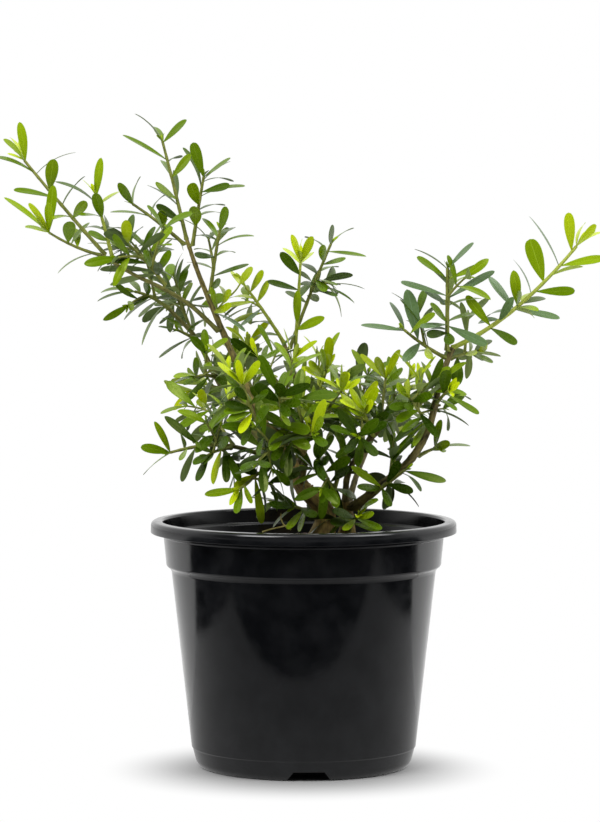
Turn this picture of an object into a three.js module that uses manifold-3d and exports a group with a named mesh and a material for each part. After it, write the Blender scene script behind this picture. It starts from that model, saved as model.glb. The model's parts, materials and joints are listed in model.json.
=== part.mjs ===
// A young narrow-leaved boxwood in a black three-litre nursery pot.
// Millimetres, +Z up. The origin is the middle of the pot's flat underside, and -Y is the front.
// The pot is a thin shell with a turned-down lip, a shoulder and drainage notches, filled with potting mix.
// Two stems rise from the mix and fork into boughs. Each mass of foliage is one stem with side twigs and
// opposite pairs of leaves, every pair turned a quarter round from the one below it.
import * as THREE from "three";
import { mergeVertices } from "three/addons/utils/BufferGeometryUtils.js";
import Module from "manifold-3d";

const wasm = await Module();
wasm.setup();

// Clear space between pieces that meet
const GAP = 0.3;

// Pot
const RIM_RADIUS = 95;
const RIM_TOP = 153.3;
const RIM_DROP = 7.3;
const MOUTH_RADIUS = 87.5;
const COLLAR_RADIUS = 88.6;
const COLLAR_FOOT = 143.4;
const BAND_TOP_RADIUS = 87;
const BAND_FOOT_RADIUS = 85.3;
const BAND_FOOT = 125.4;
const BODY_TOP_RADIUS = 82.1;
const BODY_TOP = 122;
const FOOT_LINE_RADIUS = 69.7;
const FOOT_LINE = 12;
const FOOT_RADIUS = 67;
const FOOT_EDGE = 3.2;
const UNDERSIDE_RADIUS = 64.5;
const WALL = 1.3;
const FLOOR = 2;
const POT_SIDES = 36;

// Drainage notches in the pot's foot
const NOTCHES = 3;
const NOTCH_TURN = 2.7; // degrees from the front
const NOTCH_FOOT_WIDTH = 26.8;
const NOTCH_TOP_WIDTH = 18.1;
const NOTCH_HEIGHT = 6.2;
const NOTCH_START = 60; // from the pot's middle line
const NOTCH_LENGTH = 12;

// Potting mix, heaped a little round the stems
const SOIL_TOP = 140;
const SOIL_FLAT_RADIUS = 42;
const SOIL_SLOPE_RADIUS = 64;
const SOIL_SLOPE_TOP = 138.4;
const SOIL_EDGE = 134;

// Shoots
const STEM_RADII = [1.25, 0.95];
const STEM_STEPS = 4;
const STEM_BARE_LENGTH = 8;
const STEM_BARE_MOST = 0.3; // of a short stem's length
const STEM_BOW = 3;
const TWIG_RADII = [1, 0.9];
const TWIG_STEPS = 2;
const TWIG_LENGTH = 22;
const TWIG_PAIRS = 2;
const TWIG_BARE = 0.5; // of its length
const TWIG_BOW = 1.5;
const TWIG_LEAN = 50; // degrees from its stem
const TWIG_FIRST = 0.28; // of the stem's length
const TWIG_RANGE = 0.5; // of the stem's length
const TWIG_TURN = 137; // degrees round the stem from one twig to the next

// Leaves
const LEAF_LENGTH = 25;
const LEAF_WIDTH = 0.41; // of its length
const LEAF_THICKNESS = 0.05; // of its length, at the keel
const LEAF_WIDEST = 0.56; // of its length, from its root
const LEAF_CURL = 0.07; // of its length: how far the tip bends down
const LEAF_ROOT = 0.4; // past the shoot's middle line
const LEAF_LEAN = 52; // degrees from its shoot
const LEAF_LEAN_TIP = 44; // degrees, near the shoot's tip
const LEAF_LEAN_LAST = 34; // degrees, on the last pair
const LAST_PAIR = 0.985; // of the shoot's length
const LAST_PAIR_SIZE = 0.92;
const TWIG_LEAF_SIZE = 0.9;
const TWIST = 28; // degrees a leaf may turn about its own length
const LIGHT = new THREE.Vector3(0.1, -0.75, 0.65); // leaves turn their upper faces a little towards it
const FACING = 0.3; // how far they turn, where a mass has no value of its own

// Space between leaves
const TRIES = 6; // ways a leaf may stand before it is left out
const CLEARANCE = 0.5; // to other masses and limbs
const BLADE_CLEARANCE = 0.2; // to the leaves and twigs of its own mass
const BLADE_FROM = 0.25; // of a leaf's length, where its blade stands clear of its twig
const SPACE = 46; // how far a leaf's tip may stand from its mass's own stem
const RIM_CLEARANCE = 1.5;

const COLOURS = {
  pot: 0x1c1d20,
  soil: 0x2b2019,
  brownBark: 0x6b5638,
  greenBark: 0x6f7a35,
  leaf: 0x2f5d22,
  young: 0x9dbb2a,
};

// Stems and boughs. Each is one tapering limb through a few places, with its radius at the foot and the tip.
// A bough grows from the side or the tip of its parent, GAP clear of it, at a share of the parent's length.
const LIMBS = {
  trunk_left: {
    radii: [6.9, 3.9], flare: 1.45, bark: "brownBark", sides: 10,
    through: [[11, -2, SOIL_TOP + GAP], [13, -3, 159], [-1, -2, 174], [-9, 2, 192]],
  },
  trunk_right: {
    radii: [5.4, 3.7], flare: 1.45, bark: "brownBark", sides: 10,
    through: [[27, 8, SOIL_TOP + GAP], [27, 5, 151], [26, 2, 163]],
  },
  bough_upright_left: {
    from: "trunk_left", at: 1, radii: [2.9, 1.2], bark: "brownBark", sides: 7,
    through: [[-26, 8, 216], [-42, 16, 250], [-55, 20, 280], [-65, 20, 304], [-73, 20, 327]],
  },
  bough_reaching_left: {
    from: "bough_upright_left", at: 0.6, radii: [1.5, 1], bark: "greenBark", sides: 6,
    through: [[-70, 9, 286], [-87, 0, 297], [-103, -8, 305], [-125, -15, 318]],
  },
  bough_lower_left: {
    from: "trunk_left", at: 0.97, radii: [2.5, 1.2], bark: "greenBark", sides: 7,
    through: [[-37, 24, 213], [-56, 32, 242], [-68, 38, 265], [-85, 42, 283]],
  },
  bough_centre: {
    from: "trunk_left", at: 0.9, radii: [2.3, 1.2], bark: "brownBark", sides: 7,
    through: [[3, 22, 212], [-4, 29, 236], [-12, 32, 261]],
  },
  bough_front: {
    from: "trunk_left", at: 0.72, radii: [2.2, 1.2], bark: "brownBark", sides: 6,
    through: [[0, -28, 197], [-15, -48, 211], [-29, -62, 219]],
  },
  bough_low_left: {
    from: "trunk_left", at: 0.88, radii: [1.7, 1.1], bark: "greenBark", sides: 6,
    through: [[-26, -18, 195], [-42, -30, 201], [-56, -38, 203]],
  },
  bough_right: {
    from: "trunk_right", at: 0.93, radii: [3, 2.3], bark: "brownBark", sides: 8,
    through: [[46, -8, 174], [66, -14, 192], [77, -18, 212], [84, -18, 240], [91, -14, 260]],
  },
  bough_inner_right: {
    from: "trunk_right", at: 1, radii: [2.2, 1.2], bark: "brownBark", sides: 6,
    through: [[27, -1, 180], [34, -6, 195], [46, -8, 209]],
  },
  bough_back_left: {
    from: "trunk_left", at: 0.8, radii: [2.2, 1.2], bark: "brownBark", sides: 6,
    through: [[-8, 26, 190], [-21, 50, 205], [-37, 76, 221]],
  },
  bough_back_right: {
    from: "trunk_right", at: 0.8, radii: [2.2, 1.2], bark: "brownBark", sides: 6,
    through: [[31, 26, 172], [37, 50, 186], [47, 80, 205]],
  },
};

// Masses of foliage, by the limb that carries them. Each grows from a share of the limb's length to its own
// tip, with that many pairs of leaves up its stem and that many side twigs. "roll" turns its first pair about
// the stem, in degrees, "bow" lifts or sinks the stem's middle, "leaf" is its leaf length as a share of
// LEAF_LENGTH, "young" is how many of its last pairs are fresh growth, and "facing" is how far its leaves turn
// to the light.
const FOLIAGE = {
  bough_upright_left: [
    { name: "leader_tip", at: 1, tip: [-88, 22, 388], pairs: 6, twigs: 2, roll: 20, bow: 2 },
    { name: "leader_right_spray", at: 0.97, tip: [-62, 8, 366], pairs: 6, twigs: 1, roll: 50, bow: 2 },
    { name: "leader_left_spray", at: 0.985, tip: [-107, 30, 349], pairs: 4, roll: 30, bow: 2 },
    { name: "right_of_leader", at: 0.76, tip: [-52, 2, 333], pairs: 6, twigs: 2, roll: 10 },
  ],
  bough_reaching_left: [
    { name: "left_low", at: 1, tip: [-156, -22, 332], pairs: 5, young: 2, roll: 40, bow: -3 },
    { name: "left_high", at: 0.97, tip: [-172, -6, 376], pairs: 7, twigs: 1, young: 3, roll: 15,
      leaf: 1.1, bow: -1.5 },
    { name: "left_sprig", at: 0.92, tip: [-127, -22, 354], pairs: 3, young: 2, roll: 70,
      leaf: 1.15, bow: 0 },
    { name: "left_middle", at: 0.5, tip: [-108, -12, 325], pairs: 4, twigs: 2, roll: 60, bow: 2 },
  ],
  bough_lower_left: [
    { name: "lower_left_tip", at: 1, tip: [-106, 36, 294], pairs: 4, twigs: 2, roll: 35 },
    { name: "lower_left_back", at: 0.86, tip: [-82, 62, 292], pairs: 4, twigs: 2, roll: 80 },
    { name: "lower_left_outer", at: 0.8, tip: [-78, 24, 270], pairs: 3, roll: 0, bow: 0 },
    { name: "lower_left_foot", at: 0.58, tip: [-67, 6, 242], pairs: 4, twigs: 1, roll: 55, bow: 2 },
  ],
  bough_centre: [
    { name: "centre_young", at: 1, tip: [-36, 24, 297], pairs: 5, twigs: 2, young: 4, roll: 10, bow: 2 },
    { name: "centre_top", at: 0.96, tip: [17, 28, 324], pairs: 7, twigs: 2, roll: 45 },
    { name: "centre_top_young", at: 0.82, tip: [-2, 6, 313], pairs: 5, young: 3, roll: 0, bow: 2 },
    { name: "centre_right", at: 0.35, tip: [14, 6, 246], pairs: 5, twigs: 1, young: 3, roll: 30, bow: 2 },
    { name: "centre_left", at: 0.4, tip: [-28, 0, 254], pairs: 4, twigs: 1, young: 1, roll: 75, bow: 1 },
  ],
  trunk_left: [
    { name: "centre_front", at: 0.97, tip: [23, -25, 235], pairs: 5, twigs: 2, young: 2, roll: 15,
      bow: 2 },
    { name: "foot_sprig_left", at: 0.3, tip: [-5, -32, 164], pairs: 3, roll: 35, bow: 1 },
  ],
  bough_front: [
    { name: "front_tip", at: 1, tip: [-37, -70, 242], pairs: 3, twigs: 1, young: 1, roll: 30,
      bow: 0, facing: 0.5 },
    { name: "front_upper", at: 0.72, tip: [-15, -68, 236], pairs: 4, twigs: 1, roll: 65, leaf: 1.1,
      bow: 1, facing: 0.5 },
    { name: "front_right", at: 0.5, tip: [6, -72, 212], pairs: 4, twigs: 1, roll: 5, leaf: 1.1,
      facing: 0.5 },
    { name: "front_low", at: 0.62, tip: [-27, -72, 196], pairs: 3, twigs: 1, roll: 40, leaf: 1.1,
      facing: 0.5 },
  ],
  bough_low_left: [
    { name: "low_left_tip", at: 1, tip: [-81, -50, 199], pairs: 4, roll: 20, bow: 1 },
    { name: "low_left_front", at: 0.8, tip: [-58, -58, 198], pairs: 4, twigs: 1, roll: 60, bow: 2 },
    { name: "low_left_sprig", at: 0.25, tip: [-39, -58, 177], pairs: 3, young: 1, roll: 10, bow: 1 },
    { name: "low_left_back", at: 0.75, tip: [-60, -8, 225], pairs: 4, twigs: 1, young: 1, roll: 0,
      bow: 0 },
  ],
  trunk_right: [
    { name: "foot_sprig_right", at: 0.35, tip: [33, -26, 158], pairs: 3, young: 1, roll: 50, bow: 1 },
    { name: "centre_low", at: 0.75, tip: [9, -46, 194], pairs: 4, twigs: 2, roll: 70, facing: 0.5 },
  ],
  bough_inner_right: [
    { name: "right_rosette", at: 0.8, tip: [33, -50, 209], pairs: 4, roll: 30, leaf: 1.1, bow: 2 },
    { name: "right_young", at: 0.93, tip: [37, -30, 222], pairs: 4, twigs: 1, young: 3, roll: 0, bow: 1 },
    { name: "right_inner_tall", at: 1, tip: [51, 6, 241], pairs: 6, twigs: 1, young: 2, roll: 15,
      bow: 1 },
    { name: "right_inner_back", at: 0.7, tip: [62, 20, 232], pairs: 5, young: 1, roll: 60 },
    { name: "right_inner_left", at: 0.35, tip: [19, 8, 226], pairs: 5, twigs: 1, young: 1, roll: 40 },
  ],
  bough_right: [
    { name: "right_tip", at: 1, tip: [169, 5, 323], pairs: 8, young: 6, roll: 0, leaf: 1.15, bow: -15 },
    { name: "right_top", at: 0.985, tip: [88, -26, 310], pairs: 5, twigs: 2, roll: 45, leaf: 1.05,
      bow: 2 },
    { name: "right_left_spray", at: 0.95, tip: [62, -18, 272], pairs: 4, twigs: 1, roll: 30, bow: -2 },
    { name: "right_back_spray", at: 0.96, tip: [109, 12, 258], pairs: 4, twigs: 1, roll: 60, bow: 1 },
    { name: "right_front_spray", at: 0.72, tip: [88, -40, 236], pairs: 3, young: 1, roll: 20, bow: 1 },
    { name: "right_middle_spray", at: 0.61, tip: [64, -38, 232], pairs: 4, twigs: 1, young: 1,
      roll: 50, bow: 1 },
    { name: "right_outer_sprig", at: 0.43, tip: [83, -8, 199], pairs: 2, roll: 10, bow: 1 },
    { name: "right_low_spray", at: 0.16, tip: [62, -24, 186], pairs: 3, twigs: 1, roll: 55, bow: 1 },
  ],
  bough_back_left: [
    { name: "back_left_top", at: 1, tip: [-62, 96, 232], pairs: 5, twigs: 2, young: 1, roll: 10 },
    { name: "back_left_upper", at: 0.75, tip: [-42, 76, 252], pairs: 5, twigs: 2, young: 1, roll: 50 },
  ],
  bough_back_right: [
    { name: "back_right_top", at: 1, tip: [68, 104, 218], pairs: 5, twigs: 2, young: 1, roll: 30 },
    { name: "back_right_upper", at: 0.7, tip: [36, 84, 236], pairs: 5, twigs: 2, roll: 70 },
  ],
};

// Seeded random numbers from 0 to 1.
function randomFrom(seed) {
  let state = seed >>> 0;
  return () => {
    state = (state + 0x6d2b79f5) >>> 0;
    let t = Math.imul(state ^ (state >>> 15), state | 1);
    t = (t + Math.imul(t ^ (t >>> 7), t | 61)) ^ t;
    return ((t ^ (t >>> 14)) >>> 0) / 4294967296;
  };
}

// A random angle in radians, up to "range" degrees either side of "middle".
function angleNear(middle, range, random) {
  return THREE.MathUtils.degToRad(middle + range * (2 * random() - 1));
}

// Solids
function solidOf(geometry) {
  const bare = new THREE.BufferGeometry();
  bare.setAttribute("position", geometry.getAttribute("position"));
  bare.setIndex(geometry.getIndex());
  const merged = mergeVertices(bare, 1e-4);
  return new wasm.Manifold(
    new wasm.Mesh({
      numProp: 3,
      vertProperties: new Float32Array(merged.getAttribute("position").array),
      triVerts: new Uint32Array(merged.getIndex().array),
    }),
  );
}

function geometryOf(solid) {
  const mesh = solid.getMesh();
  const geometry = new THREE.BufferGeometry();
  geometry.setAttribute("position", new THREE.BufferAttribute(mesh.vertProperties, 3));
  geometry.setIndex(new THREE.BufferAttribute(mesh.triVerts, 1));
  geometry.computeVertexNormals();
  return geometry;
}

// A closed skin over rings with the same number of points. A ring of one point closes an end in a tip.
function skin(rings) {
  const index = [];
  const starts = [];
  let count = 0;
  for (const ring of rings) {
    starts.push(count);
    count += ring.length;
  }
  for (let i = 0; i + 1 < rings.length; i++) {
    const [here, next] = [rings[i].length, rings[i + 1].length];
    const [a, b] = [starts[i], starts[i + 1]];
    const sides = Math.max(here, next);
    for (let j = 0; j < sides; j++) {
      const k = (j + 1) % sides;
      if (here > 1) index.push(a + j, b + (j % next), a + k);
      if (next > 1) index.push(a + (k % here), b + j, b + k);
    }
  }
  const end = starts[rings.length - 1];
  for (let j = 1; j + 1 < rings[0].length; j++) index.push(0, j, j + 1);
  for (let j = 1; j + 1 < rings.at(-1).length; j++) index.push(end, end + j + 1, end + j);
  return new THREE.BufferGeometry().setFromPoints(rings.flat()).setIndex(index);
}

// A profile of radius and height turned about the pot's middle line.
function turned(profile) {
  const points = profile.map(([radius, height]) => new THREE.Vector2(radius, height));
  return new THREE.LatheGeometry(points, POT_SIDES).rotateX(Math.PI / 2);
}

// Two directions square to a shoot's line. An upright shoot takes them from the front, any other from above.
function squareTo(tangent, upright) {
  const reference = upright ? new THREE.Vector3(0, 1, 0) : new THREE.Vector3(0, 0, 1);
  const side = new THREE.Vector3().crossVectors(tangent, reference).normalize();
  const up = new THREE.Vector3().crossVectors(side, tangent).normalize();
  return [side, up];
}

function isUpright(curve) {
  const chord = curve.getPoint(1).sub(curve.getPoint(0)).normalize();
  return Math.abs(chord.z) > 0.8;
}

// A tapering limb along a curve. "flare" widens its foot, which is then cut level with the ground.
function limbSkin(curve, radii, sides, steps, flare = 1) {
  const upright = isUpright(curve);
  const rings = [];
  for (let i = 0; i <= steps; i++) {
    const share = i / steps;
    const centre = curve.getPointAt(share);
    const tangent = flare > 1 && i === 0 ? new THREE.Vector3(0, 0, 1) : curve.getTangentAt(share);
    const [side, up] = squareTo(tangent, upright);
    const spread = 1 + (flare - 1) * Math.exp(-share * 9);
    const radius = THREE.MathUtils.lerp(radii[0], radii[1], share) * spread;
    rings.push(
      Array.from({ length: sides }, (_, j) => {
        const angle = (2 * Math.PI * j) / sides;
        return centre
          .clone()
          .addScaledVector(side, radius * Math.cos(angle))
          .addScaledVector(up, radius * Math.sin(angle));
      }),
    );
  }
  return skin(rings);
}

// Pot and potting mix
function potSolid() {
  const lip = RIM_TOP - RIM_DROP;
  const inner = (radius) => radius - WALL;
  const shell = turned([
    [0, 0], [UNDERSIDE_RADIUS, 0], [FOOT_RADIUS, FOOT_EDGE], [FOOT_LINE_RADIUS, FOOT_LINE],
    [BODY_TOP_RADIUS, BODY_TOP], [BODY_TOP_RADIUS + 1, BODY_TOP + 1.9], [BAND_FOOT_RADIUS, BAND_FOOT],
    [BAND_TOP_RADIUS, COLLAR_FOOT], [COLLAR_RADIUS, COLLAR_FOOT + 0.6],
    [COLLAR_RADIUS + 0.3, RIM_TOP - WALL], [inner(RIM_RADIUS), RIM_TOP - WALL - 0.2],
    [inner(RIM_RADIUS) + 0.3, lip], [RIM_RADIUS, lip], [RIM_RADIUS - 0.2, RIM_TOP - 1.6],
    [RIM_RADIUS - 1.6, RIM_TOP - 0.3], [MOUTH_RADIUS + 1, RIM_TOP], [MOUTH_RADIUS, RIM_TOP - 0.8],
    [inner(COLLAR_RADIUS) - 0.2, COLLAR_FOOT + 1], [inner(BAND_TOP_RADIUS), COLLAR_FOOT - 0.5],
    [inner(BAND_FOOT_RADIUS), BAND_FOOT + 0.6], [inner(BODY_TOP_RADIUS), BODY_TOP + 0.4],
    [inner(FOOT_LINE_RADIUS), FOOT_LINE], [inner(FOOT_RADIUS), FLOOR + 1], [inner(FOOT_RADIUS) - 1, FLOOR],
    [0, FLOOR],
  ]);
  const notch = new THREE.Shape([
    new THREE.Vector2(-NOTCH_FOOT_WIDTH / 2 - 1, -1),
    new THREE.Vector2(NOTCH_FOOT_WIDTH / 2 + 1, -1),
    new THREE.Vector2(NOTCH_TOP_WIDTH / 2, NOTCH_HEIGHT),
    new THREE.Vector2(-NOTCH_TOP_WIDTH / 2, NOTCH_HEIGHT),
  ]);
  let pot = solidOf(shell);
  for (let i = 0; i < NOTCHES; i++) {
    const cutter = new THREE.ExtrudeGeometry(notch, { depth: NOTCH_LENGTH, bevelEnabled: false });
    cutter.rotateX(Math.PI / 2).translate(0, -NOTCH_START, 0);
    cutter.rotateZ(THREE.MathUtils.degToRad(NOTCH_TURN + (360 * i) / NOTCHES));
    pot = pot.subtract(solidOf(cutter));
  }
  return pot;
}

function soilSolid() {
  const inside = (radius) => radius - WALL - GAP;
  return solidOf(
    turned([
      [0, FLOOR + GAP], [inside(FOOT_RADIUS) - 1.4, FLOOR + GAP], [inside(FOOT_LINE_RADIUS), FOOT_LINE],
      [inside(BODY_TOP_RADIUS), BODY_TOP], [inside(BAND_FOOT_RADIUS) - 0.1, BAND_FOOT + 1.4],
      [inside(BAND_FOOT_RADIUS), SOIL_EDGE], [SOIL_SLOPE_RADIUS, SOIL_SLOPE_TOP],
      [SOIL_FLAT_RADIUS, SOIL_TOP], [0, SOIL_TOP],
    ]),
  );
}

// Limbs
// Where a shoot of some radius leaves a limb on its way to "towards": beside or beyond it, and GAP clear.
function footOn(limb, at, towards, radius) {
  const centre = limb.curve.getPointAt(at);
  const tangent = limb.curve.getTangentAt(at);
  const heading = towards.clone().sub(centre).normalize();
  const along = heading.dot(tangent);
  const isForward = at === 1 && along > 0.7;
  if (isForward) return centre.addScaledVector(tangent, GAP + radius * Math.sqrt(1 - along * along));
  const limbRadius = THREE.MathUtils.lerp(limb.radii[0], limb.radii[1], at);
  const outward = heading.addScaledVector(tangent, -along).normalize();
  return centre.addScaledVector(outward, limbRadius + GAP + radius * Math.abs(along) + 0.1);
}

function growLimbs() {
  const grown = new Map();
  for (const [name, limb] of Object.entries(LIMBS)) {
    const points = limb.through.map((p) => new THREE.Vector3(...p));
    if (limb.from) points.unshift(footOn(grown.get(limb.from), limb.at, points[0], limb.radii[0]));
    const curve = new THREE.CatmullRomCurve3(points, false, "centripetal");
    const steps = 3 * (points.length - 1);
    const solid = solidOf(limbSkin(curve, limb.radii, limb.sides, steps, limb.flare));
    grown.set(name, { ...limb, curve, solid });
  }
  return grown;
}

// Foliage
// A leaf of six faces: flat above, keeled below, its root a point sunk in the twig. "grow" fattens it for
// tests of clearance, and "from" leaves off its foot up to that share of its length.
function leafSolid(place, grow = 0, from = 0) {
  const { root, along, width, face, length } = place;
  const point = (x, y, z) =>
    root.clone().addScaledVector(along, x).addScaledVector(width, y).addScaledVector(face, z);
  const section = (x, share) => [
    point(x, (length * LEAF_WIDTH * share) / 2 + grow, grow),
    point(x, (-length * LEAF_WIDTH * share) / 2 - grow, grow),
    point(x, 0, -length * LEAF_THICKNESS * share - grow),
  ];
  return solidOf(
    skin([
      from > 0 ? section(length * from, from / LEAF_WIDEST) : [root],
      section(length * LEAF_WIDEST, 1),
      [point(length + grow, 0, -length * LEAF_CURL)],
    ]),
  );
}

function shootPath(foot, tip, bow) {
  const middle = foot.clone().lerp(tip, 0.5);
  middle.z += bow;
  return new THREE.QuadraticBezierCurve3(foot, middle, tip);
}

// One way a leaf may stand: its root, its directions and its tip. "turn" is its bearing round the shoot.
function leafPlace(centre, tangent, square, turn, lean, twist, length, facing) {
  const [side, up] = square;
  const outward = side.clone().multiplyScalar(Math.cos(turn)).addScaledVector(up, Math.sin(turn));
  const along = tangent.clone().multiplyScalar(Math.cos(lean)).addScaledVector(outward, Math.sin(lean));
  const lit = tangent.clone().addScaledVector(LIGHT, facing);
  const width = new THREE.Vector3().crossVectors(along, lit).normalize().applyAxisAngle(along, twist);
  const face = new THREE.Vector3().crossVectors(width, along).normalize();
  const root = centre.clone().addScaledVector(along, -LEAF_ROOT);
  return { root, along, width, face, length, tip: root.clone().addScaledVector(along, length) };
}

// The leaves up one shoot: opposite pairs, each turned a quarter round from the last. Every leaf comes as a
// list of ways it may stand, each freer than the one before, so that it can lean out of its neighbours' way.
function leavesOf(shoot, random) {
  const { curve, pairs, roll, leaf, bare, upright, facing } = shoot;
  const leaves = [];
  for (let k = 0; k < pairs; k++) {
    const step = pairs > 1 ? k / (pairs - 1) : 1;
    const isLast = k === pairs - 1;
    const share = THREE.MathUtils.lerp(bare, LAST_PAIR, step);
    const centre = curve.getPoint(share);
    const tangent = curve.getTangent(share);
    const square = squareTo(tangent, upright);
    const size = leaf * (isLast ? LAST_PAIR_SIZE : 0.94 + 0.1 * Math.sin(Math.PI * step));
    const lean = isLast ? LEAF_LEAN_LAST : THREE.MathUtils.lerp(LEAF_LEAN, LEAF_LEAN_TIP, step);
    for (const opposite of [0, 180]) {
      const length = LEAF_LENGTH * size * (0.88 + 0.24 * random());
      leaves.push(
        Array.from({ length: TRIES }, (_, t) =>
          leafPlace(
            centre, tangent, square, angleNear(roll + 90 * k + opposite, 12 + 7 * t, random),
            angleNear(lean, 8 + 2.5 * t, random), angleNear(0, TWIST, random), length, facing,
          ),
        ),
      );
    }
  }
  return leaves;
}

// A mass's own shoots: its stem, then its side twigs, by the seeded rule.
function shootsOf(mass, limb, random) {
  const leaf = mass.leaf ?? 1;
  const tip = new THREE.Vector3(...mass.tip);
  const curve = shootPath(footOn(limb, mass.at, tip, STEM_RADII[0]), tip, mass.bow ?? STEM_BOW);
  const upright = isUpright(curve);
  const bare = Math.min(STEM_BARE_MOST, STEM_BARE_LENGTH / curve.getLength());
  const { pairs, roll, twigs = 0, facing = FACING } = mass;
  const shoots = [{ curve, upright, leaf, pairs, roll, bare, facing, radii: STEM_RADII, steps: STEM_STEPS }];
  for (let k = 0; k < twigs; k++) {
    const share = TWIG_FIRST + (TWIG_RANGE * (k + 0.4)) / twigs;
    const foot = curve.getPoint(share);
    const tangent = curve.getTangent(share);
    const [side, up] = squareTo(tangent, upright);
    const turn = angleNear(roll + 45 + TWIG_TURN * k, 15, random);
    const lean = angleNear(TWIG_LEAN, 7, random);
    const heading = tangent
      .multiplyScalar(Math.cos(lean))
      .addScaledVector(side, Math.sin(lean) * Math.cos(turn))
      .addScaledVector(up, Math.sin(lean) * Math.sin(turn));
    const end = foot.clone().addScaledVector(heading, TWIG_LENGTH * (0.8 + 0.4 * random()));
    const path = shootPath(foot, end, TWIG_BOW);
    shoots.push({
      curve: path, upright: isUpright(path), leaf: leaf * TWIG_LEAF_SIZE, pairs: TWIG_PAIRS,
      roll: roll + 30, bare: TWIG_BARE, facing, radii: TWIG_RADII, steps: TWIG_STEPS,
    });
  }
  return shoots;
}

function boxOf(solid) {
  const { min, max } = solid.boundingBox();
  return new THREE.Box3(new THREE.Vector3(...min), new THREE.Vector3(...max));
}

// True if a shape stays over the mix, and within the pot's mouth or above its rim.
function clearsPot(box) {
  const reach = Math.hypot(Math.max(-box.min.x, box.max.x), Math.max(-box.min.y, box.max.y));
  const isAboveRim = box.min.z > RIM_TOP + RIM_CLEARANCE;
  return isAboveRim || (box.min.z > SOIL_TOP + 1 && reach < MOUTH_RADIUS - 2 * RIM_CLEARANCE);
}

// Every mass's stem and twigs first, then its leaves, so that no leaf takes another mass's stem's place.
function growMasses(limbs) {
  const placed = [...limbs].map(([owner, limb]) => ({ owner, solid: limb.solid, box: boxOf(limb.solid) }));
  const put = (mass, solid, blade) => {
    placed.push({ owner: mass.name, solid, blade, box: boxOf(solid) });
    mass.pieces.push(solid);
  };
  const isClear = (mass, guard, blade) => {
    const box = boxOf(guard);
    if (!clearsPot(box)) return false;
    return placed.every((other) => {
      if (!other.box.intersectsBox(box)) return true;
      if (other.owner !== mass.name) return other.solid.intersect(guard).isEmpty();
      return !blade || (other.blade ?? other.solid).intersect(blade).isEmpty();
    });
  };

  const masses = [];
  for (const [carrier, rows] of Object.entries(FOLIAGE)) {
    for (const row of rows) {
      const random = randomFrom(1000 + 7 * masses.length);
      masses.push({ ...row, random, shoots: shootsOf(row, limbs.get(carrier), random), pieces: [] });
    }
  }
  for (const mass of masses) {
    mass.shoots = mass.shoots.filter(({ curve, radii, steps }, k) => {
      const guard = limbSkin(curve, radii.map((radius) => radius + CLEARANCE), 3, steps);
      if (k > 0 && !isClear(mass, solidOf(guard))) return false;
      put(mass, solidOf(limbSkin(curve, radii, 3, steps)));
      return true;
    });
  }
  for (const mass of masses) {
    const stem = mass.shoots[0].curve.getPoints(8);
    const isNear = (tip) => stem.some((point) => point.distanceTo(tip) < SPACE);
    for (const shoot of mass.shoots) {
      for (const ways of leavesOf(shoot, mass.random)) {
        const place = ways.find(
          (way) =>
            isNear(way.tip) &&
            isClear(mass, leafSolid(way, CLEARANCE), leafSolid(way, BLADE_CLEARANCE, BLADE_FROM)),
        );
        if (place) put(mass, leafSolid(place), leafSolid(place, 0, BLADE_FROM));
      }
    }
  }
  return masses;
}

// Assembly
const group = new THREE.Group();
group.name = "potted_boxwood";

function add(name, solid, color, roughness) {
  const material = new THREE.MeshStandardMaterial({ color, roughness, metalness: 0 });
  const mesh = new THREE.Mesh(geometryOf(solid), material);
  mesh.name = name;
  group.add(mesh);
}

add("pot", potSolid(), COLOURS.pot, 0.35);
add("potting_mix", soilSolid(), COLOURS.soil, 0.95);
const limbs = growLimbs();
for (const [name, limb] of limbs) add(name, limb.solid, COLOURS[limb.bark], 0.8);
for (const mass of growMasses(limbs)) {
  const isYoung = (mass.young ?? 0) > mass.pairs / 2;
  add(mass.name, wasm.Manifold.union(mass.pieces), isYoung ? COLOURS.young : COLOURS.leaf, 0.45);
}

export default group;
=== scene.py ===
"""The looks of a young narrow-leaved boxwood in a black three-litre nursery pot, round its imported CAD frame.

Lengths are written in millimetres, in the frame of the part: +Z up, -Y towards the front, the origin in the
middle of the pot's underside. Meshes are scaled to metres as they are made.
"""

import json
import logging
import math
from dataclasses import dataclass, field, replace
from enum import Enum
from typing import Iterable, Iterator, Sequence

import bpy
from mathutils import Matrix, Vector, noise
from mathutils.bvhtree import BVHTree

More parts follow.
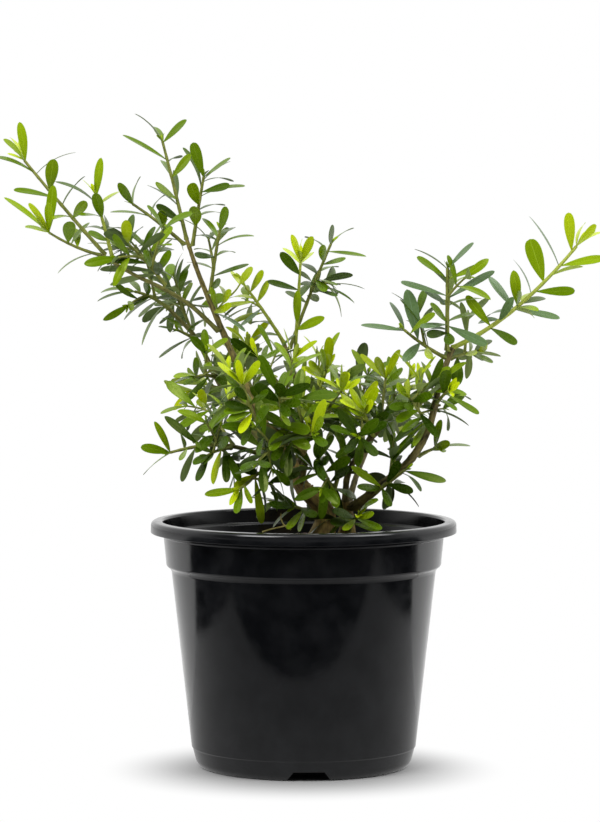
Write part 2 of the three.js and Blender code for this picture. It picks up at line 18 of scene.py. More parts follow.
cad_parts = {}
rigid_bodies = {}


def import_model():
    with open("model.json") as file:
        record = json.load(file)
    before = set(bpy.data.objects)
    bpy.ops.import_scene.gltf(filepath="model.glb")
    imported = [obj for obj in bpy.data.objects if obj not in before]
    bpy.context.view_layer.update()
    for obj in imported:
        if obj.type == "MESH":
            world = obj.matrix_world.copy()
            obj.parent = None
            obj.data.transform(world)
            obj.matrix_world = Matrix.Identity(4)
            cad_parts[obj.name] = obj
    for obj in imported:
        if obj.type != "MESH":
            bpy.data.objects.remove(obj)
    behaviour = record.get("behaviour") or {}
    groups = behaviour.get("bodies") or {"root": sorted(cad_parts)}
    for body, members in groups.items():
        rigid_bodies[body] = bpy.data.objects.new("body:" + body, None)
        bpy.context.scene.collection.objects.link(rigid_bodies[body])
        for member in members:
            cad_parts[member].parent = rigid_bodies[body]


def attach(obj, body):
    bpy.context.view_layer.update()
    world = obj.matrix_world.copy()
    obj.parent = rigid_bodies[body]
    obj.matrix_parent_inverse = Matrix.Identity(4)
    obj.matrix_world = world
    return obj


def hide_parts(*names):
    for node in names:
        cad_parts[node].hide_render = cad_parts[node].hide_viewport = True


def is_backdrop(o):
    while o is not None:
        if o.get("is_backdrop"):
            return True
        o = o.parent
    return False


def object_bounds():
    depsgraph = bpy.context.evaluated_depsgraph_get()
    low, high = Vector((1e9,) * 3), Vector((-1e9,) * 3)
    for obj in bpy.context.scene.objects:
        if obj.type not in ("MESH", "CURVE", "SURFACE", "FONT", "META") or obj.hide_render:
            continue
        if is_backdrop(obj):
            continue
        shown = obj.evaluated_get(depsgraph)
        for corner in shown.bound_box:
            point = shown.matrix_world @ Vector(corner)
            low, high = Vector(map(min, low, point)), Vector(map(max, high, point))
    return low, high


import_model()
CAD_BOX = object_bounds()

LOG = logging.getLogger("potted_boxwood")
MM = 0.001
WORD = 0xFFFFFFFF
UP = Vector((0, 0, 1))
BODY = "root"

GAP = 0.3  # clear space that the solids keep between pieces that meet
GROWTH_SEED = 1000  # the first mass's seed, and what is added for each one after it
GROWTH_SEED_STEP = 7
DETAIL_SEED = 90001  # for what only the looks have
BARK_UV = "along_limb"  # u round the limb and v along it, both in metres


# Small tools

def linear(colour: int) -> tuple[float, float, float, float]:
    """Turns an sRGB hex colour to linear light.

    Args:
        colour: The colour as 0xRRGGBB.

    Returns:
        Red, green, blue and full alpha.
    """
    channels = [((colour >> shift) & 255) / 255 for shift in (16, 8, 0)]
    red, green, blue = (c / 12.92 if c <= 0.04045 else ((c + 0.055) / 1.055) ** 2.4 for c in channels)
    return red, green, blue, 1.0


def add_node(
    tree: bpy.types.NodeTree,
    kind: str,
    settings: dict[str | int, object] | None = None,
    links: dict[str | int, bpy.types.NodeSocket] | None = None,
) -> bpy.types.Node:
    """Adds a node with its settings and links.

    Args:
        tree: The node tree that it joins.
        kind: The node's type name in Blender.
        settings: Values of its own properties, or of its inputs by name or number.
        links: What feeds its inputs, by name or number.

    Returns:
        The new node.
    """
    node = tree.nodes.new(kind)
    for name, value in (settings or {}).items():
        if isinstance(name, int) or name in node.inputs:
            node.inputs[name].default_value = value
        else:
            setattr(node, name, value)
    for name, socket in (links or {}).items():
        tree.links.new(socket, node.inputs[name])
    return node


def add_noise(
    tree: bpy.types.NodeTree, place: bpy.types.NodeSocket, scale: float, detail: float, roughness: float = 0.5
) -> bpy.types.NodeSocket:
    """Adds cloudy noise.

    Args:
        tree: The node tree that it joins.
        place: The coordinates that it is drawn in.
        scale: How many of its clouds lie along a unit of them.
        detail: How many finer layers it has.
        roughness: How strong each finer layer is.

    Returns:
        Its value.
    """
    settings = {"Scale": scale, "Detail": detail, "Roughness": roughness}
    return add_node(tree, "ShaderNodeTexNoise", settings, {"Vector": place}).outputs["Fac"]


def add_range(
    tree: bpy.types.NodeTree,
    value: bpy.types.NodeSocket,
    source: tuple[float, float] = (0.0, 1.0),
    target: tuple[float, float] = (0.0, 1.0),
    smooth: bool = False,
) -> bpy.types.NodeSocket:
    """Adds a map from one range of values to another.

    Args:
        tree: The node tree that it joins.
        value: What is mapped.
        source: The range that it is taken from, past which it is held.
        target: The range that it is brought to.
        smooth: Whether it eases in and out at the ends.

    Returns:
        The mapped value.
    """
    settings = {"From Min": source[0], "From Max": source[1], "To Min": target[0], "To Max": target[1]}
    if smooth:
        settings["interpolation_type"] = "SMOOTHSTEP"
    return add_node(tree, "ShaderNodeMapRange", settings, {"Value": value}).outputs["Result"]


def add_blend(
    tree: bpy.types.NodeTree, share: bpy.types.NodeSocket, colours: tuple[int, int]
) -> bpy.types.NodeSocket:
    """Adds a blend of two colours.

    Args:
        tree: The node tree that it joins.
        share: How much of the second colour there is.
        colours: Both, as 0xRRGGBB.

    Returns:
        The blended colour.
    """
    settings = {"data_type": "RGBA", 6: linear(colours[0]), 7: linear(colours[1])}
    return add_node(tree, "ShaderNodeMix", settings, {0: share}).outputs[2]


def add_bump(
    tree: bpy.types.NodeTree,
    height: bpy.types.NodeSocket,
    relief: tuple[float, float],
    under: bpy.types.NodeSocket | None = None,
) -> bpy.types.NodeSocket:
    """Adds a relief too fine for the mesh.

    Args:
        tree: The node tree that it joins.
        height: What raises the surface.
        relief: How strongly it shows, and its depth in mm.
        under: The relief that this one lies on, if there is one.

    Returns:
        The surface's normal.
    """
    links = {"Height": height}
    if under is not None:
        links["Normal"] = under
    settings = {"Strength": relief[0], "Distance": relief[1] * MM}
    return add_node(tree, "ShaderNodeBump", settings, links).outputs["Normal"]


def lerp(a: float, b: float, share: float) -> float:
    """The value that lies a share of the way from a to b."""
    return a + (b - a) * share


def square_to(tangent: Vector, upright: bool) -> tuple[Vector, Vector]:
    """Finds two directions square to a shoot's line, from the front for an upright shoot and else from above.

    Args:
        tangent: The direction of the shoot.
        upright: Whether the whole shoot stands up.

    Returns:
        The sideways and the upward direction.
    """
    reference = Vector((0, 1, 0)) if upright else UP
    side = tangent.cross(reference).normalized()
    return side, side.cross(tangent).normalized()


def ring_point(centre: Vector, square: tuple[Vector, Vector], angle: float, reach: float) -> Vector:
    """The point of a ring at a bearing in radians, in the plane of two directions square to its line."""
    side, up = square
    return centre + reach * (math.cos(angle) * side + math.sin(angle) * up)


def heading(tangent: Vector, square: tuple[Vector, Vector], turn: float, lean: float) -> Vector:
    """The direction at a bearing round a line and a lean away from it, both in radians."""
    side, up = square
    return tangent * math.cos(lean) + math.sin(lean) * (side * math.cos(turn) + up * math.sin(turn))


class Dice:
    """Seeded random numbers from 0 to 1, the same ones that the solids were grown from."""

    def __init__(self, seed: int) -> None:
        """Starts the row of numbers that belongs to a seed."""
        self.state = seed & WORD

    def roll(self) -> float:
        """The next number."""
        self.state = (self.state + 0x6D2B79F5) & WORD
        mixed = ((self.state ^ (self.state >> 15)) * (self.state | 1)) & WORD
        mixed = ((mixed + ((mixed ^ (mixed >> 7)) * (mixed | 61) & WORD)) & WORD) ^ mixed
        return (mixed ^ (mixed >> 14)) / (WORD + 1)

    def between(self, low: float, high: float) -> float:
        """A number between two others."""
        return lerp(low, high, self.roll())

    def angle_near(self, middle: float, spread: float) -> float:
        """An angle in radians, up to so many degrees either side of a middle one."""
        return math.radians(middle + spread * (2 * self.roll() - 1))


# Paths

class Path:
    """A line in space with a point for each share of its parameter, or of its length."""

    DIVISIONS = 200
    NUDGE = 1e-4

    def point(self, t: float) -> Vector:
        """The point at a share of the parameter."""
        raise NotImplementedError

    def tangent(self, t: float) -> Vector:
        """The direction at a share of the parameter."""
        return (self.point(min(1, t + self.NUDGE)) - self.point(max(0, t - self.NUDGE))).normalized()

    def measure(self) -> list[float]:
        """Measures the line, once.

        Returns:
            Its length up to each of its divisions.
        """
        if not hasattr(self, "_lengths"):
            points = [self.point(i / self.DIVISIONS) for i in range(self.DIVISIONS + 1)]
            lengths = [0.0]
            for before, after in zip(points, points[1:]):
                lengths.append(lengths[-1] + (after - before).length)
            self._lengths = lengths
        return self._lengths

    @property
    def length(self) -> float:
        """The whole line's length."""
        return self.measure()[-1]

    def parameter_at(self, share: float) -> float:
        """Finds the parameter at a share of the length.

        Args:
            share: From 0 at the foot to 1 at the tip.

        Returns:
            The parameter, from 0 to 1.
        """
        lengths = self.measure()
        wanted = share * lengths[-1]
        for i in range(self.DIVISIONS):
            if lengths[i + 1] >= wanted:
                step = lengths[i + 1] - lengths[i]
                return (i + ((wanted - lengths[i]) / step if step else 0)) / self.DIVISIONS
        return 1.0

    def point_at(self, share: float) -> Vector:
        """The point at a share of the length."""
        return self.point(self.parameter_at(share))

    def tangent_at(self, share: float) -> Vector:
        """The direction at a share of the length."""
        return self.tangent(self.parameter_at(share))

    @property
    def is_upright(self) -> bool:
        """Whether the line stands up rather than leans out."""
        return abs((self.point(1) - self.point(0)).normalized().z) > 0.8


class SmoothPath(Path):
    """A smooth line through a few places: a centripetal Catmull-Rom curve."""

    def __init__(self, places: Sequence[Vector]) -> None:
        """Keeps the places, with one more beyond each end to lead the line in and out."""
        self.places = [2 * places[0] - places[1], *places, 2 * places[-1] - places[-2]]

    def point(self, t: float) -> Vector:
        """Finds the point at a share of the parameter.

        Args:
            t: The share, from 0 to 1.

        Returns:
            The point.
        """
        spans = len(self.places) - 3
        i = min(int(t * spans), spans - 1)
        u = t * spans - i
        before, start, end, after = self.places[i:i + 4]
        d0, d1, d2 = ((b - a).length ** 0.5 for a, b in ((before, start), (start, end), (end, after)))
        leave = ((start - before) / d0 - (end - before) / (d0 + d1) + (end - start) / d1) * d1
        arrive = ((end - start) / d1 - (after - start) / (d1 + d2) + (after - end) / d2) * d1
        square = -3 * start + 3 * end - 2 * leave - arrive
        cube = 2 * start - 2 * end + leave + arrive
        return start + leave * u + square * u ** 2 + cube * u ** 3


class BowedPath(Path):
    """A line from a foot to a tip that bows up or down in its middle: a quadratic Bezier curve."""

    def __init__(self, foot: Vector, tip: Vector, bow: float) -> None:
        """Keeps the ends and works out the middle."""
        self.foot, self.tip = foot, tip
        self.middle = foot.lerp(tip, 0.5) + UP * bow

    def point(self, t: float) -> Vector:
        """The point at a share of the parameter."""
        return (1 - t) ** 2 * self.foot + 2 * t * (1 - t) * self.middle + t ** 2 * self.tip


# Meshes

class Skin:
    """Points, faces and their finishes, gathered up into one mesh."""

    def __init__(self) -> None:
        """Starts with nothing."""
        self.points: list[Vector] = []
        self.faces: list[tuple[int, ...]] = []
        self.finishes: list[int] = []
        self.uvs: list[tuple[float, float]] = []

    def add(self, points: Iterable[Vector], *groups: Iterable[tuple[int, ...]]) -> None:
        """Adds a piece of mesh.

        Args:
            points: Its points, in millimetres.
            groups: Its faces, as numbers of those points, in one group for each of the mesh's finishes.
        """
        start = len(self.points)
        self.points.extend(points)
        for finish, faces in enumerate(groups):
            for face in faces:
                self.faces.append(tuple(start + i for i in face))
                self.finishes.append(finish)

    def add_rings(
        self, rings: Sequence[Sequence[Vector]], uvs: Sequence[tuple[float, float]] | None = None
    ) -> None:
        """Adds a closed tube through rings that have as many points each, with a flat cap at both ends.

        Args:
            rings: The rings from the foot to the tip, each turning the same way about the tube's line.
            uvs: A (u, v) for every point of every ring, where the mesh has them.
        """
        sides = len(rings[0])
        faces = []
        for i in range(len(rings) - 1):
            low, high = i * sides, (i + 1) * sides
            for j in range(sides):
                k = (j + 1) % sides
                faces.append((low + j, low + k, high + k, high + j))
        last = (len(rings) - 1) * sides
        faces += [tuple(range(sides - 1, -1, -1)), tuple(range(last, last + sides))]
        self.add([point for ring in rings for point in ring], faces)
        if uvs is not None:
            self.uvs.extend(uvs)

    @property
    def triangles(self) -> int:
        """How many triangles the faces come to."""
        return sum(len(face) - 2 for face in self.faces)

    def piece(
        self, name: str, materials: Sequence[bpy.types.Material], sharp: float = 40
    ) -> bpy.types.Object:
        """Makes the object, riding on the plant's one body.

        Args:
            name: The piece's name.
            materials: Its materials, in the order that the faces number them.
            sharp: Edges that turn by more than this many degrees stay sharp.

        Returns:
            The new object.
        """
        mesh = bpy.data.meshes.new(name)
        mesh.from_pydata([tuple(point * MM) for point in self.points], [], self.faces)
        for material in materials:
            mesh.materials.append(material)
        mesh.polygons.foreach_set("material_index", self.finishes)
        if self.uvs:
            layer = mesh.uv_layers.new(name=BARK_UV)
            for loop in mesh.loops:
                layer.data[loop.index].uv = self.uvs[loop.vertex_index]
        mesh.update()
        mesh.shade_smooth()
        mesh.set_sharp_from_angle(angle=math.radians(sharp))
        made = bpy.data.objects.new(name, mesh)
        bpy.context.scene.collection.objects.link(made)
        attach(made, BODY)
        LOG.info("%s: %d triangles", name, self.triangles)
        return made


# Finishes

class Finish:
    """What a surface is made of. Each kind writes its own nodes round one principled shader."""

    name: str

    def material(self) -> bpy.types.Material:
        """Makes the material, or gives back the one made before.

        Returns:
            The material.
        """
        known = bpy.data.materials.get(self.name)
        if known:
            return known
        made = bpy.data.materials.new(self.name)
        made.use_nodes = True
        tree = made.node_tree
        tree.nodes.clear()
        shader = self.shade(tree)
        add_node(tree, "ShaderNodeOutputMaterial", links={"Surface": shader.outputs[0]})
        return made

    def shade(self, tree: bpy.types.NodeTree) -> bpy.types.Node:
        """Adds the finish's nodes.

        Args:
            tree: The node tree that they join.

        Returns:
            The shader.
        """
        raise NotImplementedError


@dataclass(frozen=True)
class MouldedPolypropylene(Finish):
    """Black polypropylene, injection-moulded against a lightly textured steel tool.

    It gives the eye a near-black body colour under broad, soft-edged reflections, with a faint unevenness
    where the plastic shrank in the tool.
    """

    colours: tuple[int, int] = (0x090A0C, 0x131416)  # clean, and lightly scuffed and dusty
    roughness: tuple[float, float] = (0.1, 0.2)
    ior: float = 1.49
    grain: float = 0.5  # mm between the specks of the tool's texture, drawn coarser than the real 0.1
    ripple: float = 55  # mm between the slow shrink marks
    scuff: float = 16  # mm between the clouds of dust and scuffs
    worn: tuple[float, float] = (0.4, 0.7)  # where in those clouds the wear starts and is full
    shrink_relief: tuple[float, float] = (0.12, 0.6)
    grain_relief: tuple[float, float] = (0.05, 0.05)
    name: str = "moulded_black_polypropylene"

    def shade(self, tree: bpy.types.NodeTree) -> bpy.types.Node:
        """Adds the finish's nodes.

        Args:
            tree: The node tree that they join.

        Returns:
            The shader.
        """
        place = add_node(tree, "ShaderNodeTexCoord").outputs["Object"]
        slow = add_noise(tree, place, 1 / (self.ripple * MM), 2.0)
        fine = add_noise(tree, place, 1 / (self.grain * MM), 2.0)
        scuffs = add_noise(tree, place, 1 / (self.scuff * MM), 6.0, 0.6)
        worn = add_range(tree, scuffs, self.worn)
        shrink = add_bump(tree, slow, self.shrink_relief)
        return add_node(
            tree, "ShaderNodeBsdfPrincipled",
            {"IOR": self.ior},
            {
                "Base Color": add_blend(tree, worn, self.colours),
                "Roughness": add_range(tree, worn, target=self.roughness),
                "Normal": add_bump(tree, fine, self.grain_relief, shrink),
            },
        )


@dataclass(frozen=True)
class Crumb(Finish):
    """One kind of particle in potting mix, or the damp mix itself.

    Damp peat and bark drink the light, so they are dull and very dark, and the grey-white perlite stands out.
    """

    name: str
    colours: tuple[int, int]
    roughness: float
    patch: float  # mm between changes of colour
    depth: float  # mm of its roughest relief
    ior: float = 1.4
    strength: float = 0.8  # of that relief
    change: tuple[float, float] = (0.35, 0.65)  # where in the noise one colour gives way to the other

    def shade(self, tree: bpy.types.NodeTree) -> bpy.types.Node:
        """Adds the finish's nodes.

        Args:
            tree: The node tree that they join.

        Returns:
            The shader.
        """
        place = add_node(tree, "ShaderNodeTexCoord").outputs["Object"]
        patch = add_noise(tree, place, 1 / (self.patch * MM), 5.0)
        return add_node(
            tree, "ShaderNodeBsdfPrincipled",
            {"Roughness": self.roughness, "IOR": self.ior},
            {
                "Base Color": add_blend(tree, add_range(tree, patch, self.change), self.colours),
                "Normal": add_bump(tree, patch, (self.strength, self.depth)),
            },
        )


class Wood(Enum):
    """Ages of bark: its dark furrow colour, its ridge colour, its relief's height in mm and its shine."""

    OLD = (0x564222, 0xB39B54, 0.45, 0.5)
    BROWN = (0x26210C, 0x80753E, 0.26, 0.5)
    RUSSET = (0x342E12, 0x908242, 0.24, 0.5)
    OLIVE = (0x40401A, 0x7C7A38, 0.14, 0.5)
    GREEN = (0x525C1C, 0x868A3A, 0.06, 0.5)
    LIME = (0x7C8A22, 0xA6B044, 0.04, 0.5)


@dataclass(frozen=True)
class Bark(Finish):
    """Thin living bark: young shoots are green and smooth, and older wood is brown, dull and split along it.

    The streaks run along the limb, so they are drawn from the limb's own lengthwise coordinates.
    """

    wood: Wood
    streak: float = 1.3  # mm between furrows
    stretch: float = 5  # a furrow's length, in its widths
    blotch: float = 7  # mm between darker and paler stretches
    blotch_share: float = 0.5  # of those in the colour, against the furrows
    ridge: tuple[float, float] = (0.55, 0.95)  # where in both together the ridge's colour starts and is full
    strength: float = 0.6  # of the furrows' relief
    roughness: float = 0.72
    ior: float = 1.42

    @property
    def name(self) -> str:
        """The material's name."""
        return f"bark_{self.wood.name.lower()}"

    def shade(self, tree: bpy.types.NodeTree) -> bpy.types.Node:
        """Adds the finish's nodes.

        Args:
            tree: The node tree that they join.

        Returns:
            The shader.
        """
        dark, light, relief, shine = self.wood.value
        along = add_node(tree, "ShaderNodeUVMap", {"uv_map": BARK_UV}).outputs["UV"]
        place = add_node(tree, "ShaderNodeTexCoord").outputs["Object"]
        across = 1 / (self.streak * MM)
        stretched = add_node(
            tree, "ShaderNodeVectorMath",
            {"operation": "MULTIPLY", 1: (across, across / self.stretch, 1)}, {0: along},
        )
        furrow = add_noise(tree, stretched.outputs["Vector"], 1.0, 5.0, 0.62)
        blotch = add_noise(tree, place, 1 / (self.blotch * MM), 2.0)
        both = add_node(
            tree, "ShaderNodeMath", {"operation": "MULTIPLY_ADD", 1: self.blotch_share},
            {0: blotch, 2: furrow},
        )
        share = add_range(tree, both.outputs["Value"], self.ridge)
        return add_node(
            tree, "ShaderNodeBsdfPrincipled",
            {"Roughness": self.roughness, "IOR": self.ior, "Specular IOR Level": shine},
            {
                "Base Color": add_blend(tree, share, (dark, light)),
                "Normal": add_bump(tree, furrow, (self.strength, relief)),
            },
        )


class Tint(Enum):
    """Ages of leaf, and its painted shade and painted sheen: the colours of its upper side, midrib and
    underside.
    """

    # The darkest tint is painted shade, for leaves deep in the crown.
    SHADE = (0x284003, 0x34490A, 0x3E4E20)
    DARK = (0x3D5803, 0x4A6210, 0x54663A)
    MATURE = (0x597603, 0x647E18, 0x6C7E4C)
    # A grey-green that stands in for the pale sheen of the white room on tilted leaves: painted sheen.
    WAXY = (0x5A7446, 0x66805A, 0x74866A)
    FULL = (0x6C8604, 0x7E981E, 0x7C8E50)
    FRESH = (0x7E9806, 0x86A018, 0x8A9C50)
    YOUNG = (0x9AAE08, 0xA2B61C, 0x9AAE42)
    TENDER = (0xB8CA0C, 0xBECE24, 0xB2C44C)


class LeafPart(Enum):
    """The parts of a leaf that differ in finish, numbered as a leaf's faces are."""

    UPPER = 0
    RIB = 1
    UNDER = 2


@dataclass(frozen=True)
class WaxyLeaf(Finish):
    """A boxwood leaf's skin: leathery, waxed above and dull below.

    The wax gives the upper side broad pale reflections near its grazing angles, over a plain leaf green. The
    underside and the midrib are paler and more matt. The colour stays plain, and each leaf takes its own.
    """

    # By part: its least and greatest roughness, and the depth of its dimples in mm
    SURFACES = {
        LeafPart.UPPER: (0.24, 0.34, 0.03),
        LeafPart.RIB: (0.45, 0.55, 0.03),
        LeafPart.UNDER: (0.55, 0.65, 0.04),
    }

    tint: Tint
    part: LeafPart
    pebble: float = 2.6  # mm between the skin's shallow dimples
    strength: float = 0.18  # of their relief
    change: tuple[float, float] = (0.3, 0.7)  # where in them the roughness is least and greatest
    ior: float = 1.42
    sheen: int = 0xE4F08C  # of the thin wax, through which the green shows
    grey_leaf_sheen: int = 0xF2F8F4  # the reflections' colour on the grey-green leaves, whose own colour is painted sheen

    @property
    def name(self) -> str:
        """The material's name."""
        return f"leaf_{self.tint.name.lower()}_{self.part.name.lower()}"

    def shade(self, tree: bpy.types.NodeTree) -> bpy.types.Node:
        """Adds the finish's nodes.

        Args:
            tree: The node tree that they join.

        Returns:
            The shader.
        """
        low, high, depth = self.SURFACES[self.part]
        place = add_node(tree, "ShaderNodeTexCoord").outputs["Object"]
        pebble = add_noise(tree, place, 1 / (self.pebble * MM), 1.5)
        return add_node(
            tree, "ShaderNodeBsdfPrincipled",
            {
                "Base Color": linear(self.tint.value[self.part.value]),
                "IOR": self.ior,
                "Specular Tint": linear(self.grey_leaf_sheen if self.tint is Tint.WAXY else self.sheen),
            },
            {
                "Roughness": add_range(tree, pebble, self.change, (low, high)),
                "Normal": add_bump(tree, pebble, (self.strength, depth)),
            },
        )


@dataclass(frozen=True)
class SweepPaper(Finish):
    """White seamless paper, matt, with the faint cloudiness of its fibres.

    The camera sees it overexposed to pure white past the soft shadow round the pot's foot, and darker than it
    is
    inside that shadow: a painted shadow over the one that the lights cast.
    """

    colours: tuple[int, int] = (0x949494, 0x9A9A9A)  # the paper as the camera sees it, darker than it is: painted shade round the foot
    lit: tuple[int, int] = (0xE2E2E2, 0xEAEAEA)  # as the plant and the pot are lit by it
    middle: float = -18  # mm from the pot's middle to the shadow's, towards the viewer
    shadow: tuple[float, float] = (46, 127)  # mm from its middle: where the painted shadow starts to fade and ends
    cloud: float = 25  # mm between the clouds of the fibres
    roughness: float = 0.95
    name: str = "sweep_paper"

    def shade(self, tree: bpy.types.NodeTree) -> bpy.types.Node:
        """Adds the finish's nodes.

        Args:
            tree: The node tree that they join.

        Returns:
            The shader.
        """
        place = add_node(tree, "ShaderNodeTexCoord").outputs["Object"]
        cloud = add_noise(tree, place, 1 / (self.cloud * MM), 3.0)
        seen = add_node(tree, "ShaderNodeLightPath").outputs["Is Camera Ray"]
        lit, shaded = (add_blend(tree, cloud, pair) for pair in (self.lit, self.colours))
        colour = add_node(tree, "ShaderNodeMix", {"data_type": "RGBA"}, {0: seen, 6: lit, 7: shaded})
        paper = add_node(
            tree, "ShaderNodeBsdfPrincipled", {"Roughness": self.roughness, "Specular IOR Level": 0.0},
            {"Base Color": colour.outputs[2]},
        )
        # Painted shadow: round the shadow's middle the camera sees the darker paper, fading by distance to a
        # white glow.
        middle = (0, self.middle * MM, 0)
        offset = add_node(tree, "ShaderNodeVectorMath", {"operation": "SUBTRACT", 1: middle}, {0: place})
        away = add_node(
            tree, "ShaderNodeVectorMath", {"operation": "LENGTH"}, {0: offset.outputs["Vector"]}
        )
        start, end = (reach * MM for reach in self.shadow)
        share = add_range(tree, away.outputs["Value"], (start, end), smooth=True)
        shown = add_node(tree, "ShaderNodeMath", {"operation": "MULTIPLY"}, {0: share, 1: seen})
        white = add_node(tree, "ShaderNodeEmission", {"Color": (1, 1, 1, 1), "Strength": 1.0})
        return add_node(
            tree, "ShaderNodeMixShader",
            links={0: shown.outputs["Value"], 1: paper.outputs[0], 2: white.outputs[0]},
        )


@dataclass(frozen=True)
class TableGlow(Finish):
    """The table's painted reflection, a glowing card only reflections see: dim in front, where the pot shades
    it, brighter behind.
    """

    depth: tuple[float, float] = (-160, 120)  # mm back from the pot's middle, at the front and the back
    light: tuple[float, float] = (0.3, 0.75)  # how bright it is there
    name: str = "table_glow"

    def shade(self, tree: bpy.types.NodeTree) -> bpy.types.Node:
        """Adds the finish's nodes.

        Args:
            tree: The node tree that they join.

        Returns:
            The shader.
        """
        place = add_node(tree, "ShaderNodeTexCoord").outputs["Object"]
        axes = add_node(tree, "ShaderNodeSeparateXYZ", links={"Vector": place})
        front, back = (place * MM for place in self.depth)
        glow = add_range(tree, axes.outputs["Y"], (front, back), self.light)
        return add_node(tree, "ShaderNodeEmission", {"Strength": 1.0}, {"Color": glow})


# Pot

@dataclass
class NurseryPot:
    """The round tapered pot: a thin shell with a turned-down lip, a shoulder and drainage notches.

    Its radii, heights and notches are the solid's own, in mm, and "notch_turn" is in degrees.
    """

    rim_radius: float = 95
    rim_top: float = 153.3
    rim_drop: float = 7.3
    mouth_radius: float = 87.5
    collar_radius: float = 88.6
    collar_foot: float = 143.4
    band_top_radius: float = 87
    band_foot_radius: float = 85.3
    band_foot: float = 125.4
    body_top_radius: float = 82.1
    body_top: float = 122
    foot_line_radius: float = 69.7
    foot_line: float = 12
    foot_step: float = 0.45
    foot_radius: float = 67
    foot_edge: float = 3.2
    underside_radius: float = 64.5
    wall: float = 1.3
    floor: float = 2
    sides: int = 216
    corner_steps: int = 4
    corner_most: float = 0.48  # of the shorter line beside a corner, as far as its rounding may reach
    sharp: float = 30  # degrees that an edge turns by and stays sharp
    notches: int = 3
    notch_turn: float = 2.7
    notch_foot_width: float = 26.8
    notch_top_width: float = 18.1
    notch_height: float = 6.2
    notch_start: float = 38
    notch_length: float = 34

    def profile(self) -> list[tuple[float, float, float]]:
        """Lists the corners of the wall's section, from the underside's middle over the lip to its floor.

        Returns:
            Radius, height and corner rounding of each corner.
        """
        lip = self.rim_top - self.rim_drop
        thin = self.wall
        return [
            (0, 0, 0),
            (self.underside_radius, 0, 1.2),
            (self.foot_radius, self.foot_edge, 1.5),
            (self.foot_line_radius - self.foot_step, self.foot_line, 0.15),
            (self.foot_line_radius + 0.1, self.foot_line + 0.5, 0.15),
            (self.body_top_radius, self.body_top, 0.6),
            (self.body_top_radius + 1, self.body_top + 1.9, 0.8),
            (self.band_foot_radius, self.band_foot, 1.1),
            (self.band_top_radius, self.collar_foot, 0.3),
            (self.collar_radius, self.collar_foot + 0.6, 0.35),
            (self.collar_radius + 0.3, self.rim_top - thin, 0.6),
            (self.rim_radius - thin, self.rim_top - thin - 0.2, 1.0),
            (self.rim_radius - thin + 0.2, lip, 0.4),
            (self.rim_radius, lip, 0.45),
            (self.rim_radius - 0.2, self.rim_top - 1.6, 1.2),
            (self.rim_radius - 1.6, self.rim_top - 0.2, 1.2),
            (self.mouth_radius + 1, self.rim_top, 0.7),
            (self.mouth_radius, self.rim_top - 0.9, 0.7),
            (self.collar_radius - thin - 0.2, self.collar_foot + 1, 0.5),
            (self.band_top_radius - thin, self.collar_foot - 0.5, 0.4),
            (self.band_foot_radius - thin, self.band_foot + 0.6, 0.8),
            (self.body_top_radius - thin, self.body_top + 0.4, 0.8),
            (self.foot_line_radius - thin, self.foot_line, 0),
            (self.foot_radius - thin, self.floor + 1, 0.6),
            (self.foot_radius - thin - 1, self.floor, 0.4),
            (0, self.floor, 0),
        ]

    def rounded(self) -> list[tuple[float, float]]:
        """Rounds the corners of the profile.

        Returns:
            Radius and height of each point, closer together round the corners.
        """
        corners = self.profile()
        outline: list[tuple[float, float]] = []
        for i, (radius, height, rounding) in enumerate(corners):
            here = Vector((radius, height))
            if not rounding or i in (0, len(corners) - 1):
                outline.append((radius, height))
                continue
            back = Vector(corners[i - 1][:2]) - here
            on = Vector(corners[i + 1][:2]) - here
            start = here + back.normalized() * min(rounding, back.length * self.corner_most)
            end = here + on.normalized() * min(rounding, on.length * self.corner_most)
            for step in range(self.corner_steps + 1):
                t = step / self.corner_steps
                point = (1 - t) ** 2 * start + 2 * t * (1 - t) * here + t ** 2 * end
                outline.append((point.x, point.y))
        return outline

    def shell(self) -> Skin:
        """Turns the rounded profile about the pot's middle line.

        Returns:
            The shell, still without its notches.
        """
        skin = Skin()
        outline = self.rounded()
        inner = outline[1:-1]
        turns = [2 * math.pi * j / self.sides for j in range(self.sides)]
        points = [Vector((r * math.cos(a), r * math.sin(a), z)) for r, z in inner for a in turns]
        points += [Vector((0, 0, outline[0][1])), Vector((0, 0, outline[-1][1]))]
        faces: list[tuple[int, ...]] = []
        for j in range(self.sides):
            k = (j + 1) % self.sides
            for i in range(len(inner) - 1):
                low, high = i * self.sides, (i + 1) * self.sides
                faces.append((low + j, low + k, high + k, high + j))
            last = (len(inner) - 1) * self.sides
            faces.append((len(points) - 2, k, j))
            faces.append((len(points) - 1, last + j, last + k))
        skin.add(points, faces)
        return skin

    def notch_cutter(self) -> bpy.types.Object:
        """Makes the block that cuts all the drainage notches at once.

        Returns:
            An object of tapered blocks, not shown.
        """
        skin = Skin()
        foot, top = self.notch_foot_width / 2 + 1, self.notch_top_width / 2
        section = [(-foot, -1), (foot, -1), (top, self.notch_height), (-top, self.notch_height)]
        for i in range(self.notches):
            turn = Matrix.Rotation(math.radians(self.notch_turn + 360 * i / self.notches), 3, "Z")
            rings = [
                [turn @ Vector((x, -away, z)) for x, z in section]
                for away in (self.notch_start, self.notch_start + self.notch_length)
            ]
            skin.add_rings(rings)
        return skin.piece("notch_cutter", [])

    def build(self) -> None:
        """Makes the pot's shell in place of its solid."""
        shell = self.shell().piece("pot_shell", [MouldedPolypropylene().material()])
        cutter = self.notch_cutter()
        cut = shell.modifiers.new("notches", "BOOLEAN")
        cut.operation, cut.solver, cut.object = "DIFFERENCE", "EXACT", cutter
        bpy.context.view_layer.update()
        evaluated = shell.evaluated_get(bpy.context.evaluated_depsgraph_get())
        shell.data = bpy.data.meshes.new_from_object(evaluated)
        shell.modifiers.clear()
        shell.data.shade_smooth()
        shell.data.set_sharp_from_angle(angle=math.radians(self.sharp))
        bpy.data.objects.remove(cutter)
        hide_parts("pot")


# The photo's camera

